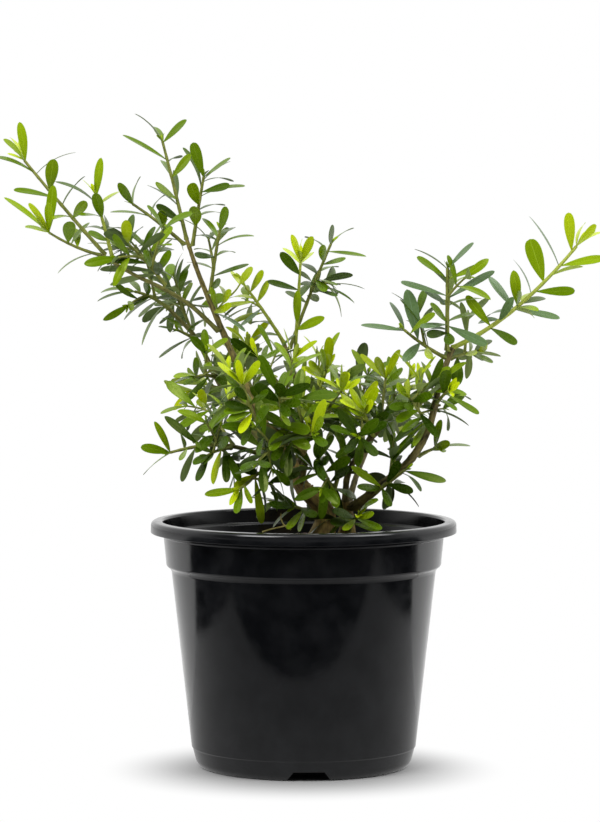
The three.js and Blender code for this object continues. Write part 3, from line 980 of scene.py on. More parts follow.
@dataclass(frozen=True)
class PhotoCamera:
    """The camera that took the photo, as fitted to the pot's lip, foot and lines."""

    place: tuple[float, float, float] = (-2.3, -2353.6, 369.6)
    pitch: float = 3.61  # degrees below level
    focal: float = 3802  # in the picture's pixels
    middle: tuple[float, float] = (300, 411)  # the picture's middle, in pixels
    height: float = 822  # of the picture, in pixels

    @property
    def ahead(self) -> Vector:
        """The direction that it looks in."""
        return Vector((0, math.cos(math.radians(self.pitch)), -math.sin(math.radians(self.pitch))))

    @property
    def above(self) -> Vector:
        """The direction that is up in its picture."""
        return Vector((0, math.sin(math.radians(self.pitch)), math.cos(math.radians(self.pitch))))

    def pixel_of(self, point: Vector) -> Vector:
        """Where a point shows in the picture, in pixels from its top left."""
        away = point - Vector(self.place)
        scale = self.focal / away.dot(self.ahead)
        return Vector((self.middle[0] + scale * away.x, self.middle[1] - scale * away.dot(self.above)))

    def point_at(self, pixel: Vector, y: float) -> Vector:
        """Finds the place that shows at a pixel.

        Args:
            pixel: The pixel.
            y: How far back the place lies.

        Returns:
            The place.
        """
        right, down = pixel.x - self.middle[0], pixel.y - self.middle[1]
        ray = self.ahead * self.focal + Vector((right, 0, 0)) - self.above * down
        return Vector(self.place) + ray * ((y - self.place[1]) / ray.y)


PHOTO_CAMERA = PhotoCamera()


# Potting mix

@dataclass
class PottingMix:
    """Damp bark and peat mix, heaped a little round the stems, with chips, crumbs and perlite on top."""

    top: float = 140
    flat_radius: float = 42
    slope_radius: float = 64
    slope_top: float = 138.4
    edge_radius: float = 83.7
    edge: float = 134
    foot: float = 127  # how far down its skin is made; the pot hides the rest
    lumps: float = 0.88  # mm of unevenness
    lump: float = 9  # mm between the lumps
    sunk: float = 0.6  # mm that the lumps' mean level lies under the solid's top
    bed_rings: int = 46
    bed_sides: int = 132
    bed_clearance: float = 0.3  # to the pot's wall, below the surface
    chips: int = 620
    crumbs: int = 1500
    perlite: int = 130
    moss: int = 46
    stalk_radius: float = 0.5
    stalk_depth: float = -38  # how far back the stalks stand
    stalk_steps: int = 24
    stalk_sides: int = 6

    # The pixels that the stalks pass in the photo
    STALKS = (
        ((291, 530), (285, 526), (281, 519), (281, 513)),
        ((262, 532), (272, 529), (281, 527), (291, 524)),
    )

    # A particle's ring, as shares of half its length and breadth, and each ring's level and spread
    PARTICLE = ((1, 0), (0.55, 0.9), (-0.5, 1), (-1, 0.1), (-0.6, -0.8), (0.5, -1))
    PARTICLE_RINGS = ((-1, 0.7), (-0.2, 1), (0.8, 0.75))

    def height(self, radius: float) -> float:
        """Finds the mean level of the mix.

        Args:
            radius: How far from the pot's middle line, in mm.

        Returns:
            The level.
        """
        if radius < self.flat_radius:
            return self.top
        if radius < self.slope_radius:
            share = (radius - self.flat_radius) / (self.slope_radius - self.flat_radius)
            return lerp(self.top, self.slope_top, share)
        share = (radius - self.slope_radius) / (self.edge_radius - self.slope_radius)
        return lerp(self.slope_top, self.edge, min(1.0, share))

    def level(self, x: float, y: float) -> float:
        """The level of the lumpy surface at a place."""
        lump = noise.fractal(Vector((x, y, 7.0)) / self.lump, 0.9, 2.1, 4)
        return self.height(math.hypot(x, y)) - self.sunk + self.lumps * lump

    def bed(self) -> Skin:
        """Makes the lumpy surface and the side just under it.

        Returns:
            The closed mesh.
        """
        skin = Skin()
        rings, sides = self.bed_rings, self.bed_sides
        turns = [2 * math.pi * j / sides for j in range(sides)]
        points = [Vector((0, 0, self.level(0, 0)))]
        for i in range(1, rings + 1):
            radius = self.edge_radius * i / rings
            for turn in turns:
                x, y = radius * math.cos(turn), radius * math.sin(turn)
                points.append(Vector((x, y, self.level(x, y))))
        low = len(points)
        narrow = self.edge_radius - self.bed_clearance
        points += [Vector((narrow * math.cos(turn), narrow * math.sin(turn), self.foot)) for turn in turns]
        faces: list[tuple[int, ...]] = [(0, 1 + j, 1 + (j + 1) % sides) for j in range(sides)]
        for i in range(rings):
            inner, outer = 1 + i * sides, 1 + (i + 1) * sides
            for j in range(sides):
                k = (j + 1) % sides
                if outer < low:
                    faces.append((inner + j, outer + j, outer + k, inner + k))
                else:
                    faces.append((inner + j, low + j, low + k, inner + k))
        faces.append(tuple(range(low + sides - 1, low - 1, -1)))
        skin.add(points, faces)
        return skin

    def scatter(
        self, dice: Dice, count: int, sizes: tuple[float, float], flat: float, reach: float
    ) -> Skin:
        """Strews angular particles over the surface.

        Args:
            dice: Where the places and shapes come from.
            count: How many particles.
            sizes: The smallest and largest length of one, in mm.
            flat: A particle's thickness as a share of its length.
            reach: How far from the middle they lie, in mm.

        Returns:
            All of them in one mesh.
        """
        skin = Skin()
        for _ in range(count):
            radius, around = reach * math.sqrt(dice.roll()), dice.between(0, 2 * math.pi)
            x, y = radius * math.cos(around), radius * math.sin(around)
            long = dice.between(*sizes) * dice.between(0.6, 1)
            wide, thick = long * dice.between(0.45, 0.8), long * flat * dice.between(0.7, 1.3)
            turn = Matrix.Rotation(dice.between(0, 2 * math.pi), 3, "Z")
            tilt = Matrix.Rotation(dice.between(-0.5, 0.5), 3, "X")
            turn @= tilt @ Matrix.Rotation(dice.between(-0.5, 0.5), 3, "Y")
            middle = Vector((x, y, self.level(x, y) + thick * 0.25))
            rings = []
            for level, spread in self.PARTICLE_RINGS:
                rings.append([
                    middle + turn @ Vector((
                        long / 2 * u * spread * dice.between(0.75, 1.15),
                        wide / 2 * v * spread * dice.between(0.75, 1.15),
                        thick / 2 * level,
                    ))
                    for u, v in self.PARTICLE
                ])
            skin.add_rings(rings)
        return skin

    def stalks(self) -> Skin:
        """Makes the thin dry stalks that arch over the mix at the left stem's foot.

        Returns:
            The mesh.
        """
        skin = Skin()
        turns = [math.pi * j / (self.stalk_sides / 2) for j in range(self.stalk_sides)]
        for pixels in self.STALKS:
            path = SmoothPath([PHOTO_CAMERA.point_at(Vector(pixel), self.stalk_depth) for pixel in pixels])
            rings = []
            for i in range(self.stalk_steps + 1):
                share = i / self.stalk_steps
                square = square_to(path.tangent_at(share), False)
                centre = path.point_at(share)
                rings.append([ring_point(centre, square, turn, self.stalk_radius) for turn in turns])
            skin.add_rings(rings)
        return skin

    def build(self) -> None:
        """Makes the bed and what lies on it in place of the solid."""
        dice = Dice(DETAIL_SEED)
        damp = Crumb("damp_peat", (0x120C08, 0x2E2015), 0.92, 2.2, 0.6)
        kinds = [
            ("mix_bed", self.bed(), damp),
            ("mix_crumbs", self.scatter(dice, self.crumbs, (0.9, 2.4), 0.7, 82), damp),
            ("mix_bark_chips", self.scatter(dice, self.chips, (2.5, 6.5), 0.32, 80),
             Crumb("composted_bark", (0x23160D, 0x4E3521), 0.8, 1.6, 0.3)),
            ("mix_perlite", self.scatter(dice, self.perlite, (1.2, 2.6), 0.8, 80),
             Crumb("perlite", (0xA9A596, 0xD2CFC2), 0.75, 0.9, 0.2)),
            ("mix_moss", self.scatter(dice, self.moss, (1.8, 3.6), 0.7, 79),
             Crumb("dry_moss", (0x5A5A24, 0x8F8A48), 0.9, 0.7, 0.5)),
            ("mix_stalks", self.stalks(), Crumb("dry_stalk", (0x8A7C3A, 0xB0A660), 0.7, 4, 0.05)),
        ]
        for name, skin, finish in kinds:
            made = skin.piece(name, [finish.material()])
            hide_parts("potting_mix")


# Limbs

@dataclass
class Limb:
    """A stem or bough: one tapering limb through a few places.

    A bough grows from the side or the tip of its parent, at a share of the parent's length. Spurs are the
    stubs of lost side shoots: their share of the length and their bearing round the limb, in degrees.
    """

    name: str
    through: tuple[tuple[float, float, float], ...]
    radii: tuple[float, float]
    wood: Wood
    parent: str = ""
    at: float = 0
    flare: float = 1
    knob: float = 0  # how much thicker the pruned tip is, as a share
    spurs: tuple[tuple[float, float], ...] = ()
    shown: float = 1  # its tip's radius in the photo, as a share of the solid's
    path: Path | None = field(default=None, repr=False)
    start: Vector | None = field(default=None, repr=False)

    FLARE_FALL = 9  # how fast the root flare dies away, per length of the limb
    KNOB = 3  # mm over which the pruned tip swells
    COLLAR = (0.22, 1.6)  # how far a bough's foot swells, and over what length, in its radii
    RIDGES = (2.2, 7)  # how closely the bark's ridges stand round the limb, and their length in mm
    LUMP = 16  # mm between the bark's slow lumps
    JOINTS = (12, 4, 1.1, 0.12)  # mm between old leaf scars, their shift and width, and their height in radii
    THICK = 4  # mm of radius from which a limb has more sides
    SIDES = (26, 18)  # of a thick and of a thin limb
    RING_STEP = 1.1  # mm between rings
    LEAST_RINGS = 10
    SUNK = 1.6  # mm that a trunk's foot goes down into the mix
    ROOT = (0.2, 0.9, 2.0)  # a bough's first ring: how far out of its parent, how wide, and how many mm deep
    TIP_TURNS = (25, 50, 70, 84)  # degrees, of the rings that round off the tip
    TIP_LENGTH = 0.7  # of the tip, in its radii
    SPUR_SIDES = 8
    SPUR_LEAN = 0.4  # of a spur, towards the limb's tip
    SPUR_RINGS = ((0, 0.9), (1.2, 0.75), (1.7, 0.5), (1.8, 0.15))  # mm out of the bark, and radius in mm

    def foot_on(self, at: float, towards: Vector, radius: float) -> Vector:
        """Finds where a shoot leaves this limb: beside or beyond it, and clear by GAP.

        Args:
            at: The share of this limb's length.
            towards: The next place that the shoot passes.
            radius: The shoot's own radius.

        Returns:
            The middle of the shoot's foot.
        """
        centre, tangent = self.path.point_at(at), self.path.tangent_at(at)
        heading = (towards - centre).normalized()
        along = heading.dot(tangent)
        if at == 1 and along > 0.7:
            return centre + tangent * (GAP + radius * math.sqrt(1 - along * along))
        outward = (heading - tangent * along).normalized()
        return centre + outward * (lerp(*self.radii, at) + GAP + radius * abs(along) + 0.1)

    def grow(self, limbs: dict[str, "Limb"]) -> None:
        """Works out the limb's path from its parent's.

        Args:
            limbs: The limbs that have grown before, by name.
        """
        places = [Vector(place) for place in self.through]
        self.start = places[0]
        if self.parent:
            parent = limbs[self.parent]
            places.insert(0, parent.foot_on(self.at, places[0], self.radii[0]))
            self.start = parent.path.point_at(self.at)
        self.path = SmoothPath(places)

    def radius_at(self, share: float) -> float:
        """Finds the limb's smooth radius.

        Args:
            share: The share of its length.

        Returns:
            The radius, in mm.
        """
        length = self.path.length
        flare = (self.flare - 1) * math.exp(-share * self.FLARE_FALL)
        knob = self.knob * math.exp(-(1 - share) * length / self.KNOB)
        swell, reach = self.COLLAR
        collar = swell * math.exp(-share * length / (reach * self.radii[0])) if self.parent else 0
        return lerp(*self.radii, share) * lerp(1, self.shown, share) * (1 + flare + knob + collar)

    def relief(self, angle: float, along: float) -> float:
        """Finds how far the bark stands out.

        Args:
            angle: The bearing round the limb, in radians.
            along: The length along it, in mm.

        Returns:
            The height of the bark there, in mm.
        """
        depth = self.wood.value[2]
        round_it, length = self.RIDGES
        place = Vector((round_it * math.cos(angle), round_it * math.sin(angle), along / length))
        ridge = noise.fractal(place, 0.8, 2.2, 4)
        lump = noise.noise(Vector((math.cos(angle), math.sin(angle), along / self.LUMP)) + Vector((5, 5, 5)))
        spacing, shift, width, height = self.JOINTS
        joint = math.exp(-(((along + shift) % spacing - spacing / 2) / width) ** 2)
        return depth * (0.7 * ridge + 0.5 * lump) + height * self.radii[1] * joint

    def stations(self) -> list[tuple[Vector, Vector, float, float]]:
        """Lists where the limb's rings lie, from inside its parent or the mix to its rounded tip.

        Returns:
            Each ring's middle, direction, radius and length along the limb.
        """
        path = self.path
        steps = max(self.LEAST_RINGS, round(path.length / self.RING_STEP))
        found: list[tuple[Vector, Vector, float, float]] = []
        for i in range(steps + 1):
            share = i / steps
            tangent = UP if not self.parent and i == 0 else path.tangent_at(share)
            found.append((path.point_at(share), tangent, self.radius_at(share), share * path.length))
        foot, tangent, radius, _ = found[0]
        if not self.parent:
            found.insert(0, (foot - UP * self.SUNK, UP, radius * 1.05, -self.SUNK))
        elif (foot - self.start).length > 0.5:
            out, thin, depth = self.ROOT
            found.insert(0, (self.start.lerp(foot, out), tangent, radius * thin, -depth))
        tip, tangent, radius, length = found[-1]
        for turn in self.TIP_TURNS:
            angle = math.radians(turn)
            beyond = radius * self.TIP_LENGTH * math.sin(angle)
            found.append((tip + tangent * beyond, tangent, radius * math.cos(angle), length + beyond))
        return found

    def skin(self) -> Skin:
        """Makes the limb with its bark's relief and its spurs.

        Returns:
            The closed mesh, with lengthwise coordinates.
        """
        skin = Skin()
        sides = self.SIDES[0] if self.radii[0] > self.THICK else self.SIDES[1]
        upright = self.path.is_upright
        rings, uvs = [], []
        for centre, tangent, radius, along in self.stations():
            square = square_to(tangent, upright)
            ring = []
            for j in range(sides):
                angle = 2 * math.pi * j / sides
                reach = radius + self.relief(angle, along) * min(1.0, radius / self.radii[1])
                ring.append(ring_point(centre, square, angle, reach))
                uvs.append((angle * lerp(*self.radii, 0.5) * MM, along * MM))
            rings.append(ring)
        skin.add_rings(rings, uvs)
        for at, bearing in self.spurs:
            self.add_spur(skin, at, bearing)
        return skin

    def add_spur(self, skin: Skin, at: float, bearing: float) -> None:
        """Adds the stub of a lost side shoot.

        Args:
            skin: The limb's mesh.
            at: Its share of the limb's length.
            bearing: Its bearing round the limb, in degrees.
        """
        centre, tangent = self.path.point_at(at), self.path.tangent_at(at)
        side, up = square_to(tangent, self.path.is_upright)
        angle = math.radians(bearing)
        out = (math.cos(angle) * side + math.sin(angle) * up + self.SPUR_LEAN * tangent).normalized()
        base = self.radius_at(at)
        square = square_to(out, abs(out.z) > 0.8)
        rings, uvs = [], []
        for reach, radius in ((0, 1.0), *((base + more, radius) for more, radius in self.SPUR_RINGS)):
            ring = []
            for j in range(self.SPUR_SIDES):
                turn = 2 * math.pi * j / self.SPUR_SIDES
                ring.append(ring_point(centre + out * reach, square, turn, radius))
                uvs.append((turn * MM, reach * MM))
            rings.append(ring)
        skin.add_rings(rings, uvs)

    def build(self) -> None:
        """Makes the limb with its bark in place of its solid."""
        made = self.skin().piece(f"bark_{self.name}", [Bark(self.wood).material()])
        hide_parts(self.name)


SOIL_FOOT = 140.3  # mm: just clear of the mix's solid
LIMBS = (
    Limb("trunk_left", ((11, -2, SOIL_FOOT), (13, -3, 159), (-1, -2, 174), (-9, 2, 192)), (6.9, 3.9),
         Wood.OLD, flare=1.45, spurs=((0.55, 200),)),
    Limb("trunk_right", ((27, 8, SOIL_FOOT), (27, 5, 151), (26, 2, 163)), (5.4, 3.7), Wood.OLD, flare=1.45),
    Limb("bough_upright_left",
         ((-26, 8, 216), (-42, 16, 250), (-55, 20, 280), (-65, 20, 304), (-73, 20, 327)),
         (2.9, 1.2), Wood.RUSSET, "trunk_left", 1),
    Limb("bough_reaching_left", ((-70, 9, 286), (-87, 0, 297), (-103, -8, 305), (-125, -15, 318)),
         (1.5, 1.0), Wood.OLIVE, "bough_upright_left", 0.6),
    Limb("bough_lower_left", ((-37, 24, 213), (-56, 32, 242), (-68, 38, 265), (-85, 42, 283)),
         (2.5, 1.2), Wood.OLIVE, "trunk_left", 0.97),
    Limb("bough_centre", ((3, 22, 212), (-4, 29, 236), (-12, 32, 261)), (2.3, 1.2), Wood.BROWN,
         "trunk_left", 0.9),
    Limb("bough_front", ((0, -28, 197), (-15, -48, 211), (-29, -62, 219)), (2.2, 1.2), Wood.RUSSET,
         "trunk_left", 0.72),
    Limb("bough_low_left", ((-26, -18, 195), (-42, -30, 201), (-56, -38, 203)), (1.7, 1.1), Wood.OLIVE,
         "trunk_left", 0.88),
    Limb("bough_right", ((46, -8, 174), (66, -14, 192), (77, -18, 212), (84, -18, 240), (91, -14, 260)),
         (3.0, 2.3), Wood.BROWN, "trunk_right", 0.93, knob=0.35,
         spurs=((0.28, 250), (0.52, 20), (0.7, 180)), shown=0.74),
    Limb("bough_inner_right", ((27, -1, 180), (34, -6, 195), (46, -8, 209)), (2.2, 1.2), Wood.BROWN,
         "trunk_right", 1),
    Limb("bough_back_left", ((-8, 26, 190), (-21, 50, 205), (-37, 76, 221)), (2.2, 1.2), Wood.BROWN,
         "trunk_left", 0.8),
    Limb("bough_back_right", ((31, 26, 172), (37, 50, 186), (47, 80, 205)), (2.2, 1.2), Wood.BROWN,
         "trunk_right", 0.8),
)


# Foliage

@dataclass(frozen=True)
class Mass:
    """A mass of foliage: one stem from a share of its limb's length to its own tip, with twigs and leaves.

    All but "stout", "bare" and "inner" are the solids' own values.
    """

    name: str
    limb: str
    at: float
    tip: tuple[float, float, float]
    pairs: int  # of leaves up the stem
    twigs: int = 0  # to its sides
    young: int = 0  # how many of its last pairs are fresh growth
    roll: float = 0  # degrees that its first pair is turned about the stem
    leaf: float = 1  # its leaf length, as a share of the usual
    bow: float = 3  # mm that the stem's middle is lifted
    facing: float = 0.3  # how far its leaves turn to the light
    stout: float = 1  # its shoot's thickness in the photo, as a share of the usual
    bare: tuple[int, ...] = ()  # the side twigs, from 1, that are left out: the photo is open there
    inner: int = 0  # twigs that fill the shade behind its leaves, finer than any that the solids have

    @property
    def is_young(self) -> bool:
        """Whether most of the mass is fresh growth."""
        return self.young > self.pairs / 2


FOLIAGE = (
    Mass("leader_tip", "bough_upright_left", 1, (-88, 22, 388), 6, 2, 0, 20, bow=2, bare=(1, 2)),
    Mass("leader_right_spray", "bough_upright_left", 0.97, (-62, 8, 366), 6, 1, 0, 50, bow=2, bare=(1,)),
    Mass("leader_left_spray", "bough_upright_left", 0.985, (-107, 30, 349), 4, 0, 0, 30, bow=2),
    Mass("right_of_leader", "bough_upright_left", 0.76, (-52, 2, 333), 6, 2, 0, 10, bare=(2,)),
    Mass("left_low", "bough_reaching_left", 1, (-156, -22, 332), 5, 0, 2, 40, bow=-3, stout=0.85),
    Mass("left_high", "bough_reaching_left", 0.97, (-172, -6, 376), 7, 1, 3, 15, 1.1, bow=-1.5, stout=1.05,
         bare=(1,)),
    Mass("left_sprig", "bough_reaching_left", 0.92, (-127, -22, 354), 3, 0, 2, 70, 1.15, bow=0),
    Mass("left_middle", "bough_reaching_left", 0.5, (-108, -12, 325), 4, 2, 0, 60, bow=2, inner=4),
    Mass("lower_left_tip", "bough_lower_left", 1, (-106, 36, 294), 4, 2, 0, 35),
    Mass("lower_left_back", "bough_lower_left", 0.86, (-82, 62, 292), 4, 2, 0, 80, inner=3),
    Mass("lower_left_outer", "bough_lower_left", 0.8, (-78, 24, 270), 3, 0, 0, 0, bow=0),
    Mass("lower_left_foot", "bough_lower_left", 0.58, (-67, 6, 242), 4, 1, 0, 55, bow=2, inner=1),
    Mass("centre_young", "bough_centre", 1, (-36, 24, 297), 5, 2, 4, 10, bow=2, inner=1, bare=(1, 2)),
    Mass("centre_top", "bough_centre", 0.96, (17, 28, 324), 7, 2, 0, 45, inner=1, bare=(2,)),
    Mass("centre_top_young", "bough_centre", 0.82, (-2, 6, 313), 5, 0, 3, 0, bow=2),
    Mass("centre_right", "bough_centre", 0.35, (14, 6, 246), 5, 1, 3, 30, bow=2, inner=1),
    Mass("centre_left", "bough_centre", 0.4, (-28, 0, 254), 4, 1, 1, 75, bow=1, inner=2),
    Mass("centre_front", "trunk_left", 0.97, (23, -25, 235), 5, 2, 2, 15, bow=2, inner=3),
    Mass("foot_sprig_left", "trunk_left", 0.3, (-5, -32, 164), 3, 0, 0, 35, bow=1, inner=1),
    Mass("front_tip", "bough_front", 1, (-37, -70, 242), 3, 1, 1, 30, bow=0, facing=0.5, inner=2),
    Mass("front_upper", "bough_front", 0.72, (-15, -68, 236), 4, 1, 0, 65, 1.1, bow=1, facing=0.5, inner=3),
    Mass("front_right", "bough_front", 0.5, (6, -72, 212), 4, 1, 0, 5, 1.1, facing=0.5, inner=3),
    Mass("front_low", "bough_front", 0.62, (-27, -72, 196), 3, 1, 0, 40, 1.1, facing=0.5, inner=4),
    Mass("low_left_tip", "bough_low_left", 1, (-81, -50, 199), 4, 0, 0, 20, bow=1),
    Mass("low_left_front", "bough_low_left", 0.8, (-58, -58, 198), 4, 1, 0, 60, bow=2, inner=2),
    Mass("low_left_sprig", "bough_low_left", 0.25, (-39, -58, 177), 3, 0, 1, 10, bow=1, inner=1),
    Mass("low_left_back", "bough_low_left", 0.75, (-60, -8, 225), 4, 1, 1, 0, bow=0, inner=3),
    Mass("foot_sprig_right", "trunk_right", 0.35, (33, -26, 158), 3, 0, 1, 50, bow=1, inner=1),
    Mass("centre_low", "trunk_right", 0.75, (9, -46, 194), 4, 2, 0, 70, facing=0.5, inner=2),
    Mass("right_rosette", "bough_inner_right", 0.8, (33, -50, 209), 4, 0, 0, 30, 1.1, bow=2, inner=1),
    Mass("right_young", "bough_inner_right", 0.93, (37, -30, 222), 4, 1, 3, 0, bow=1, inner=1),
    Mass("right_inner_tall", "bough_inner_right", 1, (51, 6, 241), 6, 1, 2, 15, bow=1, bare=(1,)),
    Mass("right_inner_back", "bough_inner_right", 0.7, (62, 20, 232), 5, 0, 1, 60, inner=3),
    Mass("right_inner_left", "bough_inner_right", 0.35, (19, 8, 226), 5, 1, 1, 40, inner=2),
    Mass("right_tip", "bough_right", 1, (169, 5, 323), 8, 0, 6, 0, 1.15, bow=-15, stout=1.25),
    Mass("right_top", "bough_right", 0.985, (88, -26, 310), 5, 2, 0, 45, 1.05, bow=2, stout=1.2),
    Mass("right_left_spray", "bough_right", 0.95, (62, -18, 272), 4, 1, 0, 30, bow=-2),
    Mass("right_back_spray", "bough_right", 0.96, (109, 12, 258), 4, 1, 0, 60, bow=1, inner=1),
    Mass("right_front_spray", "bough_right", 0.72, (88, -40, 236), 3, 0, 1, 20, bow=1),
    Mass("right_middle_spray", "bough_right", 0.61, (64, -38, 232), 4, 1, 1, 50, bow=1, inner=4),
    Mass("right_outer_sprig", "bough_right", 0.43, (83, -8, 199), 2, 0, 0, 10, bow=1),
    Mass("right_low_spray", "bough_right", 0.16, (62, -24, 186), 3, 1, 0, 55, bow=1, inner=2),
    Mass("back_left_top", "bough_back_left", 1, (-62, 96, 232), 5, 2, 1, 10, inner=2),
    Mass("back_left_upper", "bough_back_left", 0.75, (-42, 76, 252), 5, 2, 1, 50, inner=3),
    Mass("back_right_top", "bough_back_right", 1, (68, 104, 218), 5, 2, 1, 30, inner=2),
    Mass("back_right_upper", "bough_back_right", 0.7, (36, 84, 236), 5, 2, 0, 70, inner=1),
)


# Leaves seen in the photo

NEAR, FAR = -1, 1
LeafRow = tuple[float, float, float, float, float, int, str]  # what a SeenLeaf holds, in its own order


@dataclass(frozen=True)
class SeenLeaf:
    """A leaf that the photo shows, its root, tip and breadth read off it in the picture's pixels.

    Its look, and whether its tip lies nearer than its root, are judged and not measured.
    """

    root_x: float
    root_y: float
    tip_x: float
    tip_y: float
    breadth: float
    side: int  # whether its tip lies nearer or farther than its root
    look: str  # a letter of LOOKS, small if its underside shows

    @property
    def root(self) -> Vector:
        """The pixel of its root."""
        return Vector((self.root_x, self.root_y))

    @property
    def tip(self) -> Vector:
        """The pixel of its tip."""
        return Vector((self.tip_x, self.tip_y))


# Leaves in painted shade, dark, mature, fresh, young and tender leaves, plain green ones, and grey-green ones
# of painted sheen
LOOKS = {
    "K": (Tint.SHADE, Tint.DARK),
    "D": (Tint.DARK, Tint.MATURE),
    "M": (Tint.MATURE, Tint.FULL),
    "F": (Tint.FRESH,),
    "Y": (Tint.YOUNG,),
    "L": (Tint.TENDER,),
    "G": (Tint.MATURE, Tint.FULL),
    "B": (Tint.WAXY,),
}

